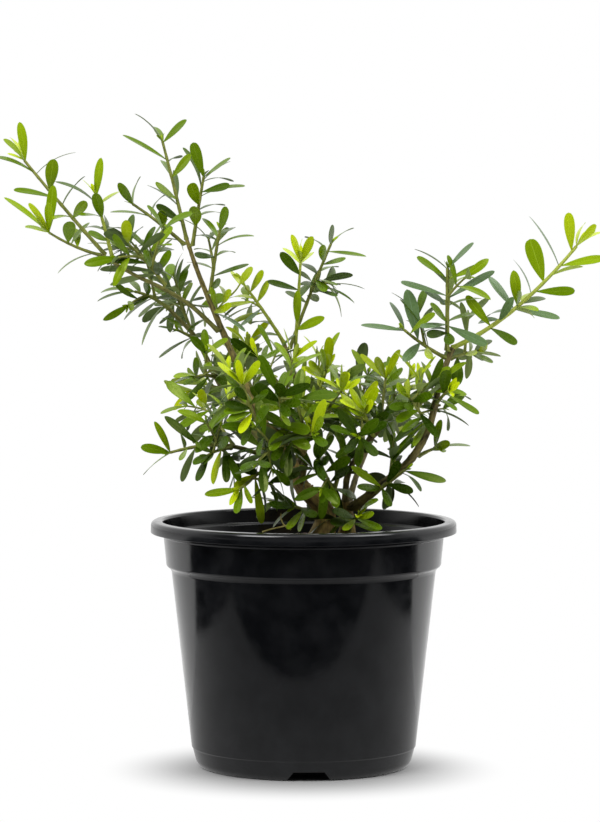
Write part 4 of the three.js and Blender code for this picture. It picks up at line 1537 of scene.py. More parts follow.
# By mass: each leaf's root_x, root_y, tip_x, tip_y, breadth, side and look, as SeenLeaf names them
SEEN_ROWS: dict[str, tuple[LeafRow, ...]] = {
    "left_high": (
        (25, 162, 20, 122, 9, NEAR, "F"), (25, 160, 5, 139, 3.5, NEAR, "F"),
        (24, 157, 10, 136, 3.5, FAR, "L"), (32, 177, -4, 155, 3.5, FAR, "M"),
        (34, 176, 75, 151, 1.5, FAR, "D"), (45, 196, 52, 160, 13, NEAR, "G"),
        (48, 205, 14, 188, 5, NEAR, "M"), (58, 208, 84, 176, 2.5, FAR, "D"),
        (63, 224, 50, 219, 4, NEAR, "F"), (69, 221, 85, 201, 10, NEAR, "G"),
    ),
    "left_low": (
        (47, 229, 5, 196, 5, NEAR, "F"), (50, 235, 25, 226, 4, NEAR, "F"),
        (43, 226, 30, 203, 6, NEAR, "Y"), (47, 224, 52, 185, 10.5, NEAR, "G"),
        (45, 227, 48, 202, 8, NEAR, "F"),
        (67, 245, 69, 222, 13, NEAR, "G"), (77, 249, 75, 227, 8, FAR, "F"),
        (75, 236, 88, 221, 5, FAR, "G"), (93, 255, 57, 272, 2, NEAR, "D"),
    ),
    "left_sprig": (
        (97, 195, 101, 158, 9, NEAR, "F"), (96, 220, 96, 194, 11, NEAR, "G"),
        (98, 205, 118, 190, 5, FAR, "Y"), (95, 208, 56, 180, 2.5, FAR, "D"),
        (96, 218, 79, 215, 2.5, NEAR, "D"), (94, 233, 105, 216, 3, FAR, "D"),
        (98, 232, 120, 228, 2, FAR, "D"), (96, 233, 80, 228, 2, FAR, "D"),
        (92, 245, 89, 234, 8, NEAR, "G"),
    ),
    "leader_tip": (
        (164, 142, 186, 119, 7, NEAR, "M"), (163, 144, 154, 126, 6, FAR, "D"),
        (163, 141, 135, 113, 1.2, FAR, "D"), (167, 160, 123, 134, 5, NEAR, "D"),
        (172, 178, 163, 160, 5, FAR, "D"), (173, 178, 190, 155, 9, NEAR, "M"),
        (168, 162, 181, 157, 1.5, FAR, "D"), (179, 206, 148, 185, 3, FAR, "D"),
        (183, 222, 157, 205, 8, NEAR, "K"), (177, 200, 157, 182, 6, NEAR, "M"),
        (178, 200, 175, 170, 5, FAR, "K"),
    ),
    "leader_right_spray": (
        (203, 178, 193, 143, 11, NEAR, "M"), (205, 177, 229, 158, 5, NEAR, "D"),
        (204, 180, 230, 161, 2, FAR, "D"), (201, 190, 184, 147, 4, FAR, "D"),
        (204, 182, 234, 180, 1.5, FAR, "D"), (201, 192, 229, 184, 7, NEAR, "D"),
        (199, 196, 245, 185, 3, NEAR, "D"), (196, 210, 224, 204, 3, FAR, "D"),
        (194, 217, 220, 213, 2, FAR, "D"), (196, 205, 190, 184, 12, NEAR, "M"),
        (193, 226, 196, 207, 13, NEAR, "M"),
    ),
    "leader_left_spray": (
        (133, 204, 119, 184, 9, NEAR, "M"), (133, 203, 139, 176, 2.5, FAR, "D"),
        (150, 218, 110, 212, 2, NEAR, "D"), (150, 218, 167, 193, 1.5, FAR, "D"),
        (163, 228, 162, 211, 10, NEAR, "M"), (168, 232, 174, 219, 1.5, FAR, "D"),
        (180, 240, 138, 245, 2, NEAR, "D"), (172, 234, 183, 250, 3, FAR, "D"),
    ),
    "right_of_leader": (
        (218, 233, 226, 208, 9, NEAR, "M"), (216, 238, 203, 217, 5, FAR, "D"),
        (218, 236, 234, 226, 6, FAR, "D"), (214, 245, 254, 235, 3, NEAR, "D"),
        (216, 240, 192, 235, 4, FAR, "D"), (209, 256, 235, 252, 2.5, FAR, "D"),
        (206, 275, 248, 264, 5, NEAR, "D"), (209, 256, 195, 254, 6, NEAR, "K"),
        (204, 287, 220, 281, 8, NEAR, "K"), (207, 268, 187, 262, 3, FAR, "D"),
    ),
    "centre_young": (
        (249, 293, 262, 271, 6.5, NEAR, "Y"), (257, 302, 268.5, 280, 7, NEAR, "Y"),
        (255, 303, 222, 308, 5.5, NEAR, "Y"), (252, 301, 229, 298, 4, FAR, "Y"),
        (262, 314, 232, 321, 5.5, FAR, "Y"), (258, 311, 243, 325, 5.5, NEAR, "B"),
        (270, 327, 252, 323, 2, FAR, "D"), (277, 337, 251, 338, 4, FAR, "D"),
    ),
    "centre_top_young": (
        (300, 263, 291, 236, 6, NEAR, "L"), (300, 263, 312, 237, 9, NEAR, "Y"),
        (299, 264, 285, 247, 5, FAR, "L"), (301, 264, 313, 251, 5, FAR, "L"),
        (300, 262, 301, 240, 4, FAR, "L"), (298, 275, 281, 252, 10, NEAR, "K"),
        (299, 290, 268, 283, 7, NEAR, "K"), (300, 325, 299, 291, 8, NEAR, "F"),
        (300, 330, 324, 318, 9, NEAR, "F"), (299, 300, 307, 283, 8, FAR, "K"),
        (299, 285, 317, 283, 6, FAR, "K"),
    ),
    "centre_top": (
        (331, 244, 331, 226, 6, NEAR, "D"), (331, 245, 353, 227, 2, FAR, "D"),
        (329, 252, 366, 257, 5, NEAR, "D"), (328, 253, 306, 236, 2, FAR, "D"),
        (324, 262, 323, 246, 8, NEAR, "M"), (322, 264, 345, 259, 6, NEAR, "D"),
        (320, 272, 338, 267, 3, FAR, "D"), (316, 280, 337, 285, 3, NEAR, "D"),
        (314, 287, 355, 302, 2, FAR, "D"), (312, 292, 336, 296, 3, NEAR, "D"),
        (318, 275, 303, 262, 7, FAR, "K"), (308, 303, 286, 290, 6, FAR, "K"),
        (316, 280, 326, 290, 8, NEAR, "D"),
    ),
    "right_tip": (
        (577, 247, 596, 226, 6, NEAR, "Y"), (576, 246, 585, 222, 3.5, FAR, "L"),
        (577, 248, 604, 231, 4, FAR, "L"), (572, 252, 568, 213, 11, NEAR, "Y"),
        (562, 267, 605, 257, 9, NEAR, "F"), (560, 268, 530, 216, 3.4, FAR, "B"),
        (544, 282, 530, 239, 16.5, NEAR, "G"), (537, 294, 575, 291, 9.5, NEAR, "G"),
        (532, 295, 514, 260, 2.2, FAR, "B"), (518, 307, 515, 271, 11, NEAR, "F"),
        (519, 307, 519, 292, 5, NEAR, "M"), (521, 305, 545, 296, 7, FAR, "K"),
        (516, 309, 538, 310, 4, NEAR, "F"), (517, 312, 560, 318, 6, NEAR, "B"),
        (490, 329, 517, 343, 8, NEAR, "K"), (509, 302, 488, 277, 8, FAR, "B"),
        (487, 320, 466, 296, 10, NEAR, "M"), (498, 320, 513, 298, 9, NEAR, "B"),
        (507, 305, 485, 317, 3.5, FAR, "B"), (499, 318, 479, 322, 5, FAR, "B"),
        (519, 314, 535, 318, 3, NEAR, "f"), (522, 304, 528, 292, 6, FAR, "Y"),
        (553, 279, 582, 266, 3.5, NEAR, "y"),
    ),
    "right_top": (
        (449, 269, 473, 242, 5, NEAR, "B"), (446, 268, 415, 248, 1.5, FAR, "D"),
        (447, 279, 418, 256, 7, NEAR, "D"), (450, 279, 485, 265, 7, NEAR, "M"),
        (450, 296, 401, 281, 7, NEAR, "B"), (452, 299, 494, 270, 8, NEAR, "B"),
        (450, 305, 425, 291, 6, FAR, "b"), (452, 322, 432, 303, 7, NEAR, "D"),
        (450, 306, 482, 298, 2, FAR, "D"), (458, 321, 474, 312, 4.5, FAR, "M"),
        (456, 325, 422, 327, 5.5, NEAR, "B"), (449, 330, 424, 331, 2.5, NEAR, "b"),
        (448, 333, 427, 335, 8, NEAR, "K"), (452, 332, 451, 344, 11, NEAR, "K"),
        (464, 326, 487, 345, 10, NEAR, "B"),
    ),
    "right_left_spray": (
        (405, 331, 361, 324, 6, NEAR, "B"), (405, 330, 391, 301, 6, FAR, "B"),
        (421, 337, 409, 289, 14, NEAR, "B"), (412, 331, 434, 312, 6, NEAR, "G"),
        (422, 340, 404, 362, 10, NEAR, "B"), (450, 315, 402, 298, 2.5, FAR, "D"),
        (430, 343, 430, 358, 8, NEAR, "Y"), (435, 347, 410, 352, 3, FAR, "D"),
    ),
    "low_left_tip": (
        (169, 451, 142, 447, 9, NEAR, "M"), (168, 450, 155, 422, 7, NEAR, "M"),
        (170, 454, 143, 475, 2, FAR, "D"), (184, 449, 182, 434, 5, FAR, "M"),
        (188, 449, 181, 459, 4, NEAR, "M"), (196, 448, 180, 481, 8, NEAR, "d"),
        (200, 447, 164, 417, 8, NEAR, "K"),
    ),
    "left_middle": (
        (128, 244, 125, 221, 11, NEAR, "Y"), (129, 246, 142, 226, 3, FAR, "K"),
        (131, 252, 105, 231, 9, NEAR, "d"), (134, 257, 165, 233, 7, NEAR, "d"),
        (141, 270, 113, 261, 6, FAR, "D"), (144, 274, 145, 251, 7, NEAR, "M"),
        (148, 280, 170, 252, 9, NEAR, "M"), (149, 283, 158, 262, 10, NEAR, "K"),
        (148, 281, 110, 285, 6, FAR, "d"), (146, 278, 100, 269, 6, NEAR, "d"),
    ),
    "lower_left_tip": (
        (136, 293, 100, 291, 3, FAR, "D"), (136, 292, 97, 300, 3, NEAR, "D"),
        (148, 301, 125, 308, 6, NEAR, "K"), (150, 303, 123, 320, 2.5, FAR, "D"),
        (155, 304, 140, 316, 5, NEAR, "D"), (162, 308, 141, 345, 3, NEAR, "D"),
        (152, 302, 182, 297, 6, FAR, "K"), (140, 296, 130, 279, 7, FAR, "M"),
        (146, 299, 148, 283, 8, NEAR, "K"),
    ),
    "lower_left_outer": (
        (193, 336, 159, 358, 2.5, NEAR, "D"), (190, 332, 158, 326, 3, NEAR, "D"),
        (187, 328, 163, 317, 3.5, FAR, "D"), (195, 338, 181, 358, 2.5, FAR, "D"),
        (188, 330, 209, 316, 4, FAR, "D"), (192, 334, 212, 336, 6, FAR, "D"),
    ),
    "lower_left_foot": (
        (197, 377, 174, 377, 4, NEAR, "F"), (197, 376, 195, 359, 6, NEAR, "M"),
        (199, 378, 167, 388, 3, FAR, "D"), (206, 379, 184, 384, 6, NEAR, "D"),
        (209, 379, 187, 400, 7, NEAR, "D"), (214, 378, 209, 364, 5, FAR, "D"),
        (217, 378, 237, 386, 12, NEAR, "K"), (215, 378, 205, 397, 6, FAR, "K"),
    ),
    "low_left_back": (
        (206, 406, 199, 391, 8, NEAR, "L"), (206, 408, 196, 402, 6, NEAR, "Y"),
        (208, 412, 180, 427, 8, NEAR, "M"), (210, 418, 232, 405, 7, NEAR, "K"),
        (214, 425, 199, 432, 6, NEAR, "D"), (216, 430, 236, 420, 7, NEAR, "K"),
        (208, 410, 226, 397, 7, FAR, "K"),
    ),
    "low_left_front": (
        (210, 455, 193, 463, 7, NEAR, "D"), (209, 455, 197, 480, 8, NEAR, "K"),
        (214, 452, 203, 464, 6, NEAR, "D"), (221, 448, 213, 484, 7, NEAR, "Y"),
        (223, 447, 227, 482, 8, NEAR, "K"), (224, 447, 241, 480, 8, NEAR, "K"),
        (217, 451, 228, 437, 8, NEAR, "K"), (213, 453, 196, 444, 6, NEAR, "D"),
    ),
    "low_left_sprig": (
        (240, 489, 206, 495, 8, NEAR, "M"), (242, 488, 236, 513, 8, NEAR, "M"),
        (257, 474, 235, 487, 10, NEAR, "Y"), (255, 476, 261, 524, 8, NEAR, "F"),
        (258, 500, 250, 503, 6, NEAR, "F"),
    ),
    "foot_sprig_left": (
        (297, 507, 270, 506, 7, NEAR, "K"), (300, 506, 271, 491, 6, FAR, "K"),
        (303, 510, 287, 529, 6, NEAR, "M"), (305, 511, 300, 531, 6, NEAR, "M"),
        (300, 507, 316, 517, 9, NEAR, "K"),
    ),
    "foot_sprig_right": (
        (358, 516, 378, 500, 3, NEAR, "M"), (357, 516, 373, 514, 8, NEAR, "F"),
        (354, 517, 381, 528, 6, NEAR, "M"), (352, 517, 332, 509, 8, NEAR, "K"),
        (353, 517, 345, 529, 6, NEAR, "F"),
        (341, 515, 331, 522, 9, NEAR, "K"), (360, 527, 380, 530, 6, NEAR, "M"),
    ),
    "right_low_spray": (
        (404, 470, 446, 482, 9, NEAR, "K"), (401, 472, 420, 491, 3, NEAR, "K"),
        (384, 481, 413, 491, 9, NEAR, "K"), (379, 484, 389, 506, 7, NEAR, "K"),
        (378, 485, 358, 488, 8, NEAR, "K"), (379, 484, 352, 467, 8, NEAR, "M"),
        (384, 481, 399, 461, 9, NEAR, "K"),
    ),
    "right_outer_sprig": (
        (438, 448, 471, 444, 2, FAR, "M"), (437, 448, 444, 452, 2.5, NEAR, "M"),
        (435, 449, 441, 420, 6, NEAR, "M"), (430, 450, 450, 442, 8, NEAR, "M"),
    ),
    "right_front_spray": (
        (445, 396, 446, 370, 12, NEAR, "K"), (446, 394, 479, 414, 5, NEAR, "D"),
        (444, 396, 470, 398, 2.5, FAR, "D"), (448, 391, 459, 385, 7, NEAR, "L"),
        (447, 392, 440, 376, 8, FAR, "D"), (441, 399, 456, 410, 4, NEAR, "D"),
    ),
    "right_back_spray": (
        (478, 350, 487, 345, 7, NEAR, "Y"), (470, 350, 492, 362, 6, NEAR, "D"),
        (464, 350, 476, 353, 6, NEAR, "Y"), (455, 350, 458, 386, 12, NEAR, "K"),
        (468, 350, 485, 358, 7, FAR, "D"), (474, 350, 490, 338, 7, FAR, "D"),
    ),
    "right_middle_spray": (
        (410, 398, 398, 384, 7, NEAR, "F"), (410, 399, 407, 381, 6, NEAR, "Y"),
        (412, 402, 432, 394, 9, NEAR, "K"), (413, 403, 390, 409, 9, NEAR, "K"),
        (416, 407, 440, 409, 6, FAR, "D"), (418, 410, 396, 420, 8, NEAR, "M"),
        (421, 413, 436, 437, 9, NEAR, "K"), (424, 416, 404, 431, 7, NEAR, "M"),
        (411, 400, 395, 396, 6, FAR, "D"),
        (393, 415, 408, 410, 10, NEAR, "K"), (392, 430, 394, 420, 7, FAR, "M"),
        (395, 450, 398, 437, 7, FAR, "F"), (400, 448, 413, 445, 6, NEAR, "M"),
        (399, 458, 412, 448, 6, NEAR, "D"), (381, 448, 394, 442, 6, NEAR, "K"),
        (376, 453, 391, 458, 5, NEAR, "D"), (371, 470, 390, 462, 4, NEAR, "D"),
    ),
    "right_young": (
        (365, 413, 377, 388, 9, NEAR, "Y"), (364, 412, 350, 390, 7, NEAR, "Y"),
        (366, 414, 373, 402, 6, NEAR, "L"), (364, 413, 341, 400, 5, NEAR, "L"),
        (366, 416, 350, 409, 6, NEAR, "F"), (364, 412, 362, 391, 6, FAR, "F"),
        (370, 424, 388, 414, 8, NEAR, "K"), (369, 421, 352, 424, 7, FAR, "K"),
    ),
    "right_inner_tall": (
        (385, 378, 361, 354, 6, NEAR, "L"), (385, 378, 377, 358, 8, NEAR, "Y"),
        (386, 377, 400, 350, 7, NEAR, "Y"), (386, 384, 402, 370, 7, NEAR, "D"),
        (385, 386, 370, 376, 2.5, FAR, "D"), (385, 389, 365, 379, 3.5, NEAR, "D"),
        (384, 395, 360, 382, 4, FAR, "D"), (384, 398, 398, 390, 5, FAR, "D"),
        (383, 404, 374, 396, 7, NEAR, "D"), (382, 410, 370, 408, 6, NEAR, "D"),
        (381, 415, 400, 404, 7, NEAR, "K"),
        (392, 417, 376, 410, 6, NEAR, "D"), (392, 390, 407, 378, 5, FAR, "D"),
    ),
    "right_rosette": (
        (358, 435, 338, 411, 10, NEAR, "K"), (359, 435, 378, 418, 10, NEAR, "K"),
        (360, 436, 386, 422, 9, NEAR, "K"), (359, 438, 345, 451, 9, NEAR, "K"),
        (360, 437, 376, 456, 9, NEAR, "K"), (358, 436, 331, 425, 6, NEAR, "D"),
        (361, 438, 357, 466, 9, NEAR, "K"), (363, 438, 336, 457, 8, NEAR, "K"),
    ),
    "centre_right": (
        (326, 371, 331, 338, 10, NEAR, "Y"), (325, 372, 321, 350, 7, NEAR, "F"),
        (327, 371, 339, 332, 4, FAR, "F"), (320, 376, 310, 362, 8, NEAR, "Y"),
        (318, 378, 303, 367, 6, NEAR, "L"), (322, 374, 344, 366, 4, FAR, "F"),
        (314, 382, 333, 384, 6, NEAR, "K"), (308, 390, 290, 378, 7, FAR, "K"),
    ),
    "centre_front": (
        (342, 391, 345, 372, 8, NEAR, "Y"), (343, 391, 360, 381, 6, NEAR, "L"),
        (341, 393, 353, 408, 7, NEAR, "Y"), (338, 396, 312, 408, 8, NEAR, "Y"),
        (340, 393, 329, 384, 6, FAR, "F"), (333, 404, 350, 396, 5, FAR, "F"),
        (330, 408, 349, 419, 7, NEAR, "K"), (325, 415, 304, 404, 8, NEAR, "M"),
        (318, 423, 336, 430, 8, NEAR, "K"),
    ),
    "front_upper": (
        (279, 395, 259, 355, 11, NEAR, "K"), (281, 396, 309, 384, 10, NEAR, "K"),
        (279, 398, 281, 384, 12, NEAR, "K"), (278, 402, 255, 386, 12, NEAR, "K"),
        (279, 404, 300, 402, 9, NEAR, "K"), (278, 408, 262, 408, 8, NEAR, "M"),
        (280, 403, 289, 416, 10, NEAR, "K"),
        (279, 425, 310, 430, 12, NEAR, "M"), (280, 431, 309, 449, 11, NEAR, "M"),
        (275, 428, 252, 428, 7, FAR, "K"), (276, 433, 270, 449, 12, NEAR, "M"),
        (275, 432, 256, 440, 8, FAR, "K"), (271, 412, 289, 425, 6, NEAR, "M"),
        (267, 412, 251, 386, 13, FAR, "K"), (273, 412, 281, 389, 12, FAR, "K"),
        (281, 420, 286, 403, 11, FAR, "K"), (283, 388, 284, 372, 6, FAR, "M"),
        (291, 388, 293, 368, 7, FAR, "M"),
    ),
    "centre_left": (
        (259, 358, 231, 340, 10, NEAR, "K"), (262, 365, 266, 345, 6, FAR, "M"),
        (260, 360, 279, 352, 6, NEAR, "D"), (266, 372, 245, 372, 6, NEAR, "M"),
        (268, 376, 285, 364, 6, FAR, "K"), (274, 386, 253, 385, 8, FAR, "K"),
    ),
    "front_tip": (
        (243, 385, 238, 361, 8, NEAR, "L"), (244, 385, 259, 363, 8, NEAR, "Y"),
        (243, 385, 219, 362, 5, NEAR, "L"), (243, 384, 246, 370, 6, FAR, "L"),
        (246, 392, 226, 378, 7, NEAR, "K"), (249, 400, 235, 388, 8, NEAR, "K"),
        (252, 408, 226, 404, 9, NEAR, "K"), (254, 412, 240, 433, 9, NEAR, "L"),
        (250, 404, 268, 392, 8, NEAR, "K"), (253, 411, 229, 420, 8, NEAR, "M"),
        (240, 410, 233, 383, 9, FAR, "M"), (246, 410, 245, 390, 6, FAR, "M"),
        (240, 412, 225, 412, 7, NEAR, "M"), (238, 417, 226, 420, 5, NEAR, "F"),
        (250, 418, 243, 445, 7, NEAR, "K"),
    ),
    "front_low": (
        (287, 449, 272, 460, 10, NEAR, "K"), (255, 459, 240, 470, 6, NEAR, "K"),
        (252, 460, 268, 468, 8, NEAR, "K"), (255, 436, 257, 455, 7, FAR, "K"),
        (297, 462, 289, 476, 9, NEAR, "K"), (277, 472, 263, 492, 10, NEAR, "K"),
    ),
    "centre_low": (
        (340, 482, 337, 507, 9, NEAR, "D"), (331, 449, 316, 443, 9, NEAR, "K"),
        (342, 451, 329, 460, 9, NEAR, "K"), (334, 468, 349, 458, 10, NEAR, "K"),
        (330, 447, 332, 434, 8, FAR, "K"), (326, 440, 320, 428, 9, FAR, "K"),
        (303, 462, 322, 480, 9, NEAR, "K"), (310, 480, 294, 485, 4, NEAR, "D"),
        (327, 477, 321, 503, 9, NEAR, "K"), (330, 478, 333, 498, 8, FAR, "K"),
        (355, 478, 357, 498, 6, FAR, "K"), (340, 478, 349, 467, 8, NEAR, "K"),
    ),
    "front_right": (
        (312, 428, 323, 418, 8, NEAR, "M"), (308, 425, 325, 400, 10, NEAR, "Y"),
        (309, 425, 303, 407, 6, FAR, "Y"), (311, 432, 325, 445, 9, NEAR, "K"),
        (338, 424, 316, 423, 5, FAR, "D"),
    ),
}


@dataclass(frozen=True)
class SeenShoot:
    """A small fresh shoot of a limb, with no solid of its own, where the photo shows it."""

    limb: str
    line: tuple[tuple[float, float], ...]  # the pixels that it passes, from its foot
    leaves: tuple[LeafRow, ...]
    pairs: int = 3  # swellings up its line, all of them fresh
    bud: float = 0.7  # the size of the leaves round its bud, as a share of the usual
    bare: float = 0.3  # share of it below its first swelling
    facing: float = 1  # how far those leaves turn to the light
    radii: tuple[float, float] = (0.8, 0.5)
    lean: float = 2.5  # mm nearer the viewer from one of its pixels to the next, a guess


SEEN_SHOOTS = (
    SeenShoot(
        "bough_upright_left",
        ((220, 312), (222, 304), (226, 298), (231, 295), (236, 290), (240, 284)),
        (
            (239, 285, 252, 267, 8, NEAR, "Y"), (238, 283, 232, 270, 5, FAR, "L"),
            (222, 303, 230, 291, 7, NEAR, "Y"), (220, 312, 211, 288, 5, NEAR, "F"),
            (223, 299, 217, 283, 3.5, FAR, "Y"), (220, 318, 230, 306, 7.5, NEAR, "Y"),
            (221, 318, 246, 330, 4, NEAR, "B"),
        ),
    ),
)


@dataclass(frozen=True)
class Shoot:
    """A stem or twig that carries leaves."""

    path: Path
    pairs: int
    roll: float
    leaf: float  # leaf length, as a share of the usual
    bare: float  # share of the shoot that carries no leaves
    radii: tuple[float, float]
    young: int  # how many of its last pairs are fresh
    facing: float  # how far its leaves turn to the light
    start: Vector  # inside its carrier, where its mesh begins

    def share_of(self, pair: int) -> float:
        """The share of the shoot where a pair of leaves sits."""
        return lerp(self.bare, Growth.LAST_PAIR, pair / (self.pairs - 1) if self.pairs > 1 else 1)


@dataclass(frozen=True)
class LeafPlace:
    """One way that a leaf may stand: its root and its three directions."""

    root: Vector
    along: Vector
    width: Vector
    face: Vector
    length: float

    @property
    def tip(self) -> Vector:
        """Where its tip lies before it bends."""
        return self.root + self.along * self.length


@dataclass(frozen=True)
class Leaf:
    """A leaf in its place, with its tint and its own small differences."""

    place: LeafPlace
    tint: Tint
    width: float  # share of its length
    arch: float  # how far its middle stands up, as a share of its length
    curl: float  # how far its tip bends back
    fold: float  # slope of its two halves up from the midrib
    sweep: float  # how far its tip bends sideways
    twist: float  # radians from root to tip
    wedge: float  # how slowly it widens from its stalk
    blunt: float  # the smaller, the rounder its tip


@dataclass(frozen=True)
class LeafHabit:
    """How far the leaves of one kind differ: the least and the most of each measure that a Leaf has."""

    width: tuple[float, float] = (0.23, 0.32)
    arch: tuple[float, float] = (0.01, 0.06)
    curl: tuple[float, float] = (0.04, 0.24)
    fold: tuple[float, float] = (0.12, 0.34)
    sweep: tuple[float, float] = (-0.05, 0.05)
    twist: tuple[float, float] = (-0.3, 0.3)
    wedge: tuple[float, float] = (0.9, 1.15)
    blunt: tuple[float, float] = (0.42, 0.7)

    def vary(self, place: LeafPlace, tint: Tint, dice: Dice, width: float | None = None) -> Leaf:
        """Makes a leaf of this kind, with its own small differences.

        Args:
            place: Where it stands.
            tint: Its tint.
            dice: Where chance comes from.
            width: Its width as a share of its length, if the photo gives it.

        Returns:
            The leaf.
        """
        if width is None:
            width = dice.between(*self.width)
        others = (self.arch, self.curl, self.fold, self.sweep, self.twist, self.wedge, self.blunt)
        return Leaf(place, tint, width, *(dice.between(*span) for span in others))


FIRM_LEAF = LeafHabit()
SOFT_LEAF = LeafHabit(width=(0.21, 0.28), curl=(0.0, 0.1), fold=(0.2, 0.45))
SEEN_LEAF = LeafHabit(
    arch=(0.0, 0.04), curl=(0.0, 0.05), sweep=(-0.04, 0.04), twist=(-0.2, 0.2), blunt=(0.4, 0.62)
)
SEEN_EDGE_ON = replace(SEEN_LEAF, arch=(0.04, 0.1))


class LeafShape:
    """The outline and the thin closed body of a leaf."""

    STATIONS = (0, 0.05, 0.1, 0.17, 0.26, 0.37, 0.49, 0.61, 0.72, 0.81, 0.88, 0.935, 0.975, 1.0)
    ACROSS = (-1, -0.93, -0.5, -0.05, 0.05, 0.5, 0.93, 1)
    STALK = 0.42  # half the stalk's width, mm
    THICKNESS = (0.42, 0.2)  # at the midrib and the margin, mm
    THINNING = 1.25  # its thickness at its root as a share of those, 1 less at its tip
    LEAST_HALF = 0.06  # half the width of its very tip, mm
    CUP = 0.16  # how much the margins bend down again

    def half_width(self, leaf: Leaf, share: float) -> float:
        """The blade's half width at a share of its length, as a share of its widest."""
        peak = leaf.wedge / (leaf.wedge + leaf.blunt)
        most = peak ** leaf.wedge * (1 - peak) ** leaf.blunt
        return share ** leaf.wedge * (1 - share) ** leaf.blunt / most

    def add_to(self, skin: Skin, leaf: Leaf) -> None:
        """Adds a leaf's closed body to a mesh.

        Args:
            skin: The mesh that it joins.
            leaf: The leaf.
        """
        place, length = leaf.place, leaf.place.length
        upper, under = [], []
        for share in self.STATIONS:
            blade = leaf.width * length / 2 * self.half_width(leaf, share)
            half = max(blade, self.STALK * (1 - share) ** 2, self.LEAST_HALF)
            lift = length * (leaf.arch * 4 * share * (1 - share) - leaf.curl * share ** 2)
            swing = length * leaf.sweep * share ** 2
            turn = leaf.twist * share
            for across in self.ACROSS:
                y = across * half
                z = leaf.fold * abs(y) - self.CUP * half * across * across
                thick = lerp(*self.THICKNESS, abs(across)) * (self.THINNING - share)
                for side, depth in ((upper, 0.0), (under, thick)):
                    flat_y = y * math.cos(turn) - (z - depth) * math.sin(turn)
                    flat_z = y * math.sin(turn) + (z - depth) * math.cos(turn)
                    side.append(
                        place.root + place.along * share * length + place.width * (flat_y + swing)
                        + place.face * (flat_z + lift)
                    )
        self.add_faces(skin, upper, under)

    def add_faces(self, skin: Skin, upper: list[Vector], under: list[Vector]) -> None:
        """Joins the points of a leaf's two sides by faces.

        Args:
            skin: The mesh that they join.
            upper: The points of the upper side, station by station.
            under: The points of the underside, in the same order.
        """
        columns, rows, below = len(self.ACROSS), len(self.STATIONS), len(upper)
        faces: dict[LeafPart, list[tuple[int, ...]]] = {part: [] for part in LeafPart}
        for i in range(rows - 1):
            here, then = i * columns, (i + 1) * columns
            for j in range(columns - 1):
                is_rib = j in (0, columns // 2 - 1, columns - 2) or i == 0
                quad = (here + j, then + j, then + j + 1, here + j + 1)
                faces[LeafPart.RIB if is_rib else LeafPart.UPPER].append(quad[::-1])
                faces[LeafPart.UNDER].append(tuple(below + k for k in quad))
            last = columns - 1
            faces[LeafPart.UNDER] += [
                (here, then, below + then, below + here),
                (here + last, below + here + last, below + then + last, then + last),
            ]
        end = (rows - 1) * columns
        foot_ring = [*range(columns), *range(below + columns - 1, below - 1, -1)]
        tip_ring = [*range(end, end + columns), *range(below + end + columns - 1, below + end - 1, -1)]
        faces[LeafPart.UNDER].append(tuple(foot_ring))
        faces[LeafPart.UNDER].append(tuple(tip_ring[::-1]))
        skin.add(upper + under, *faces.values())


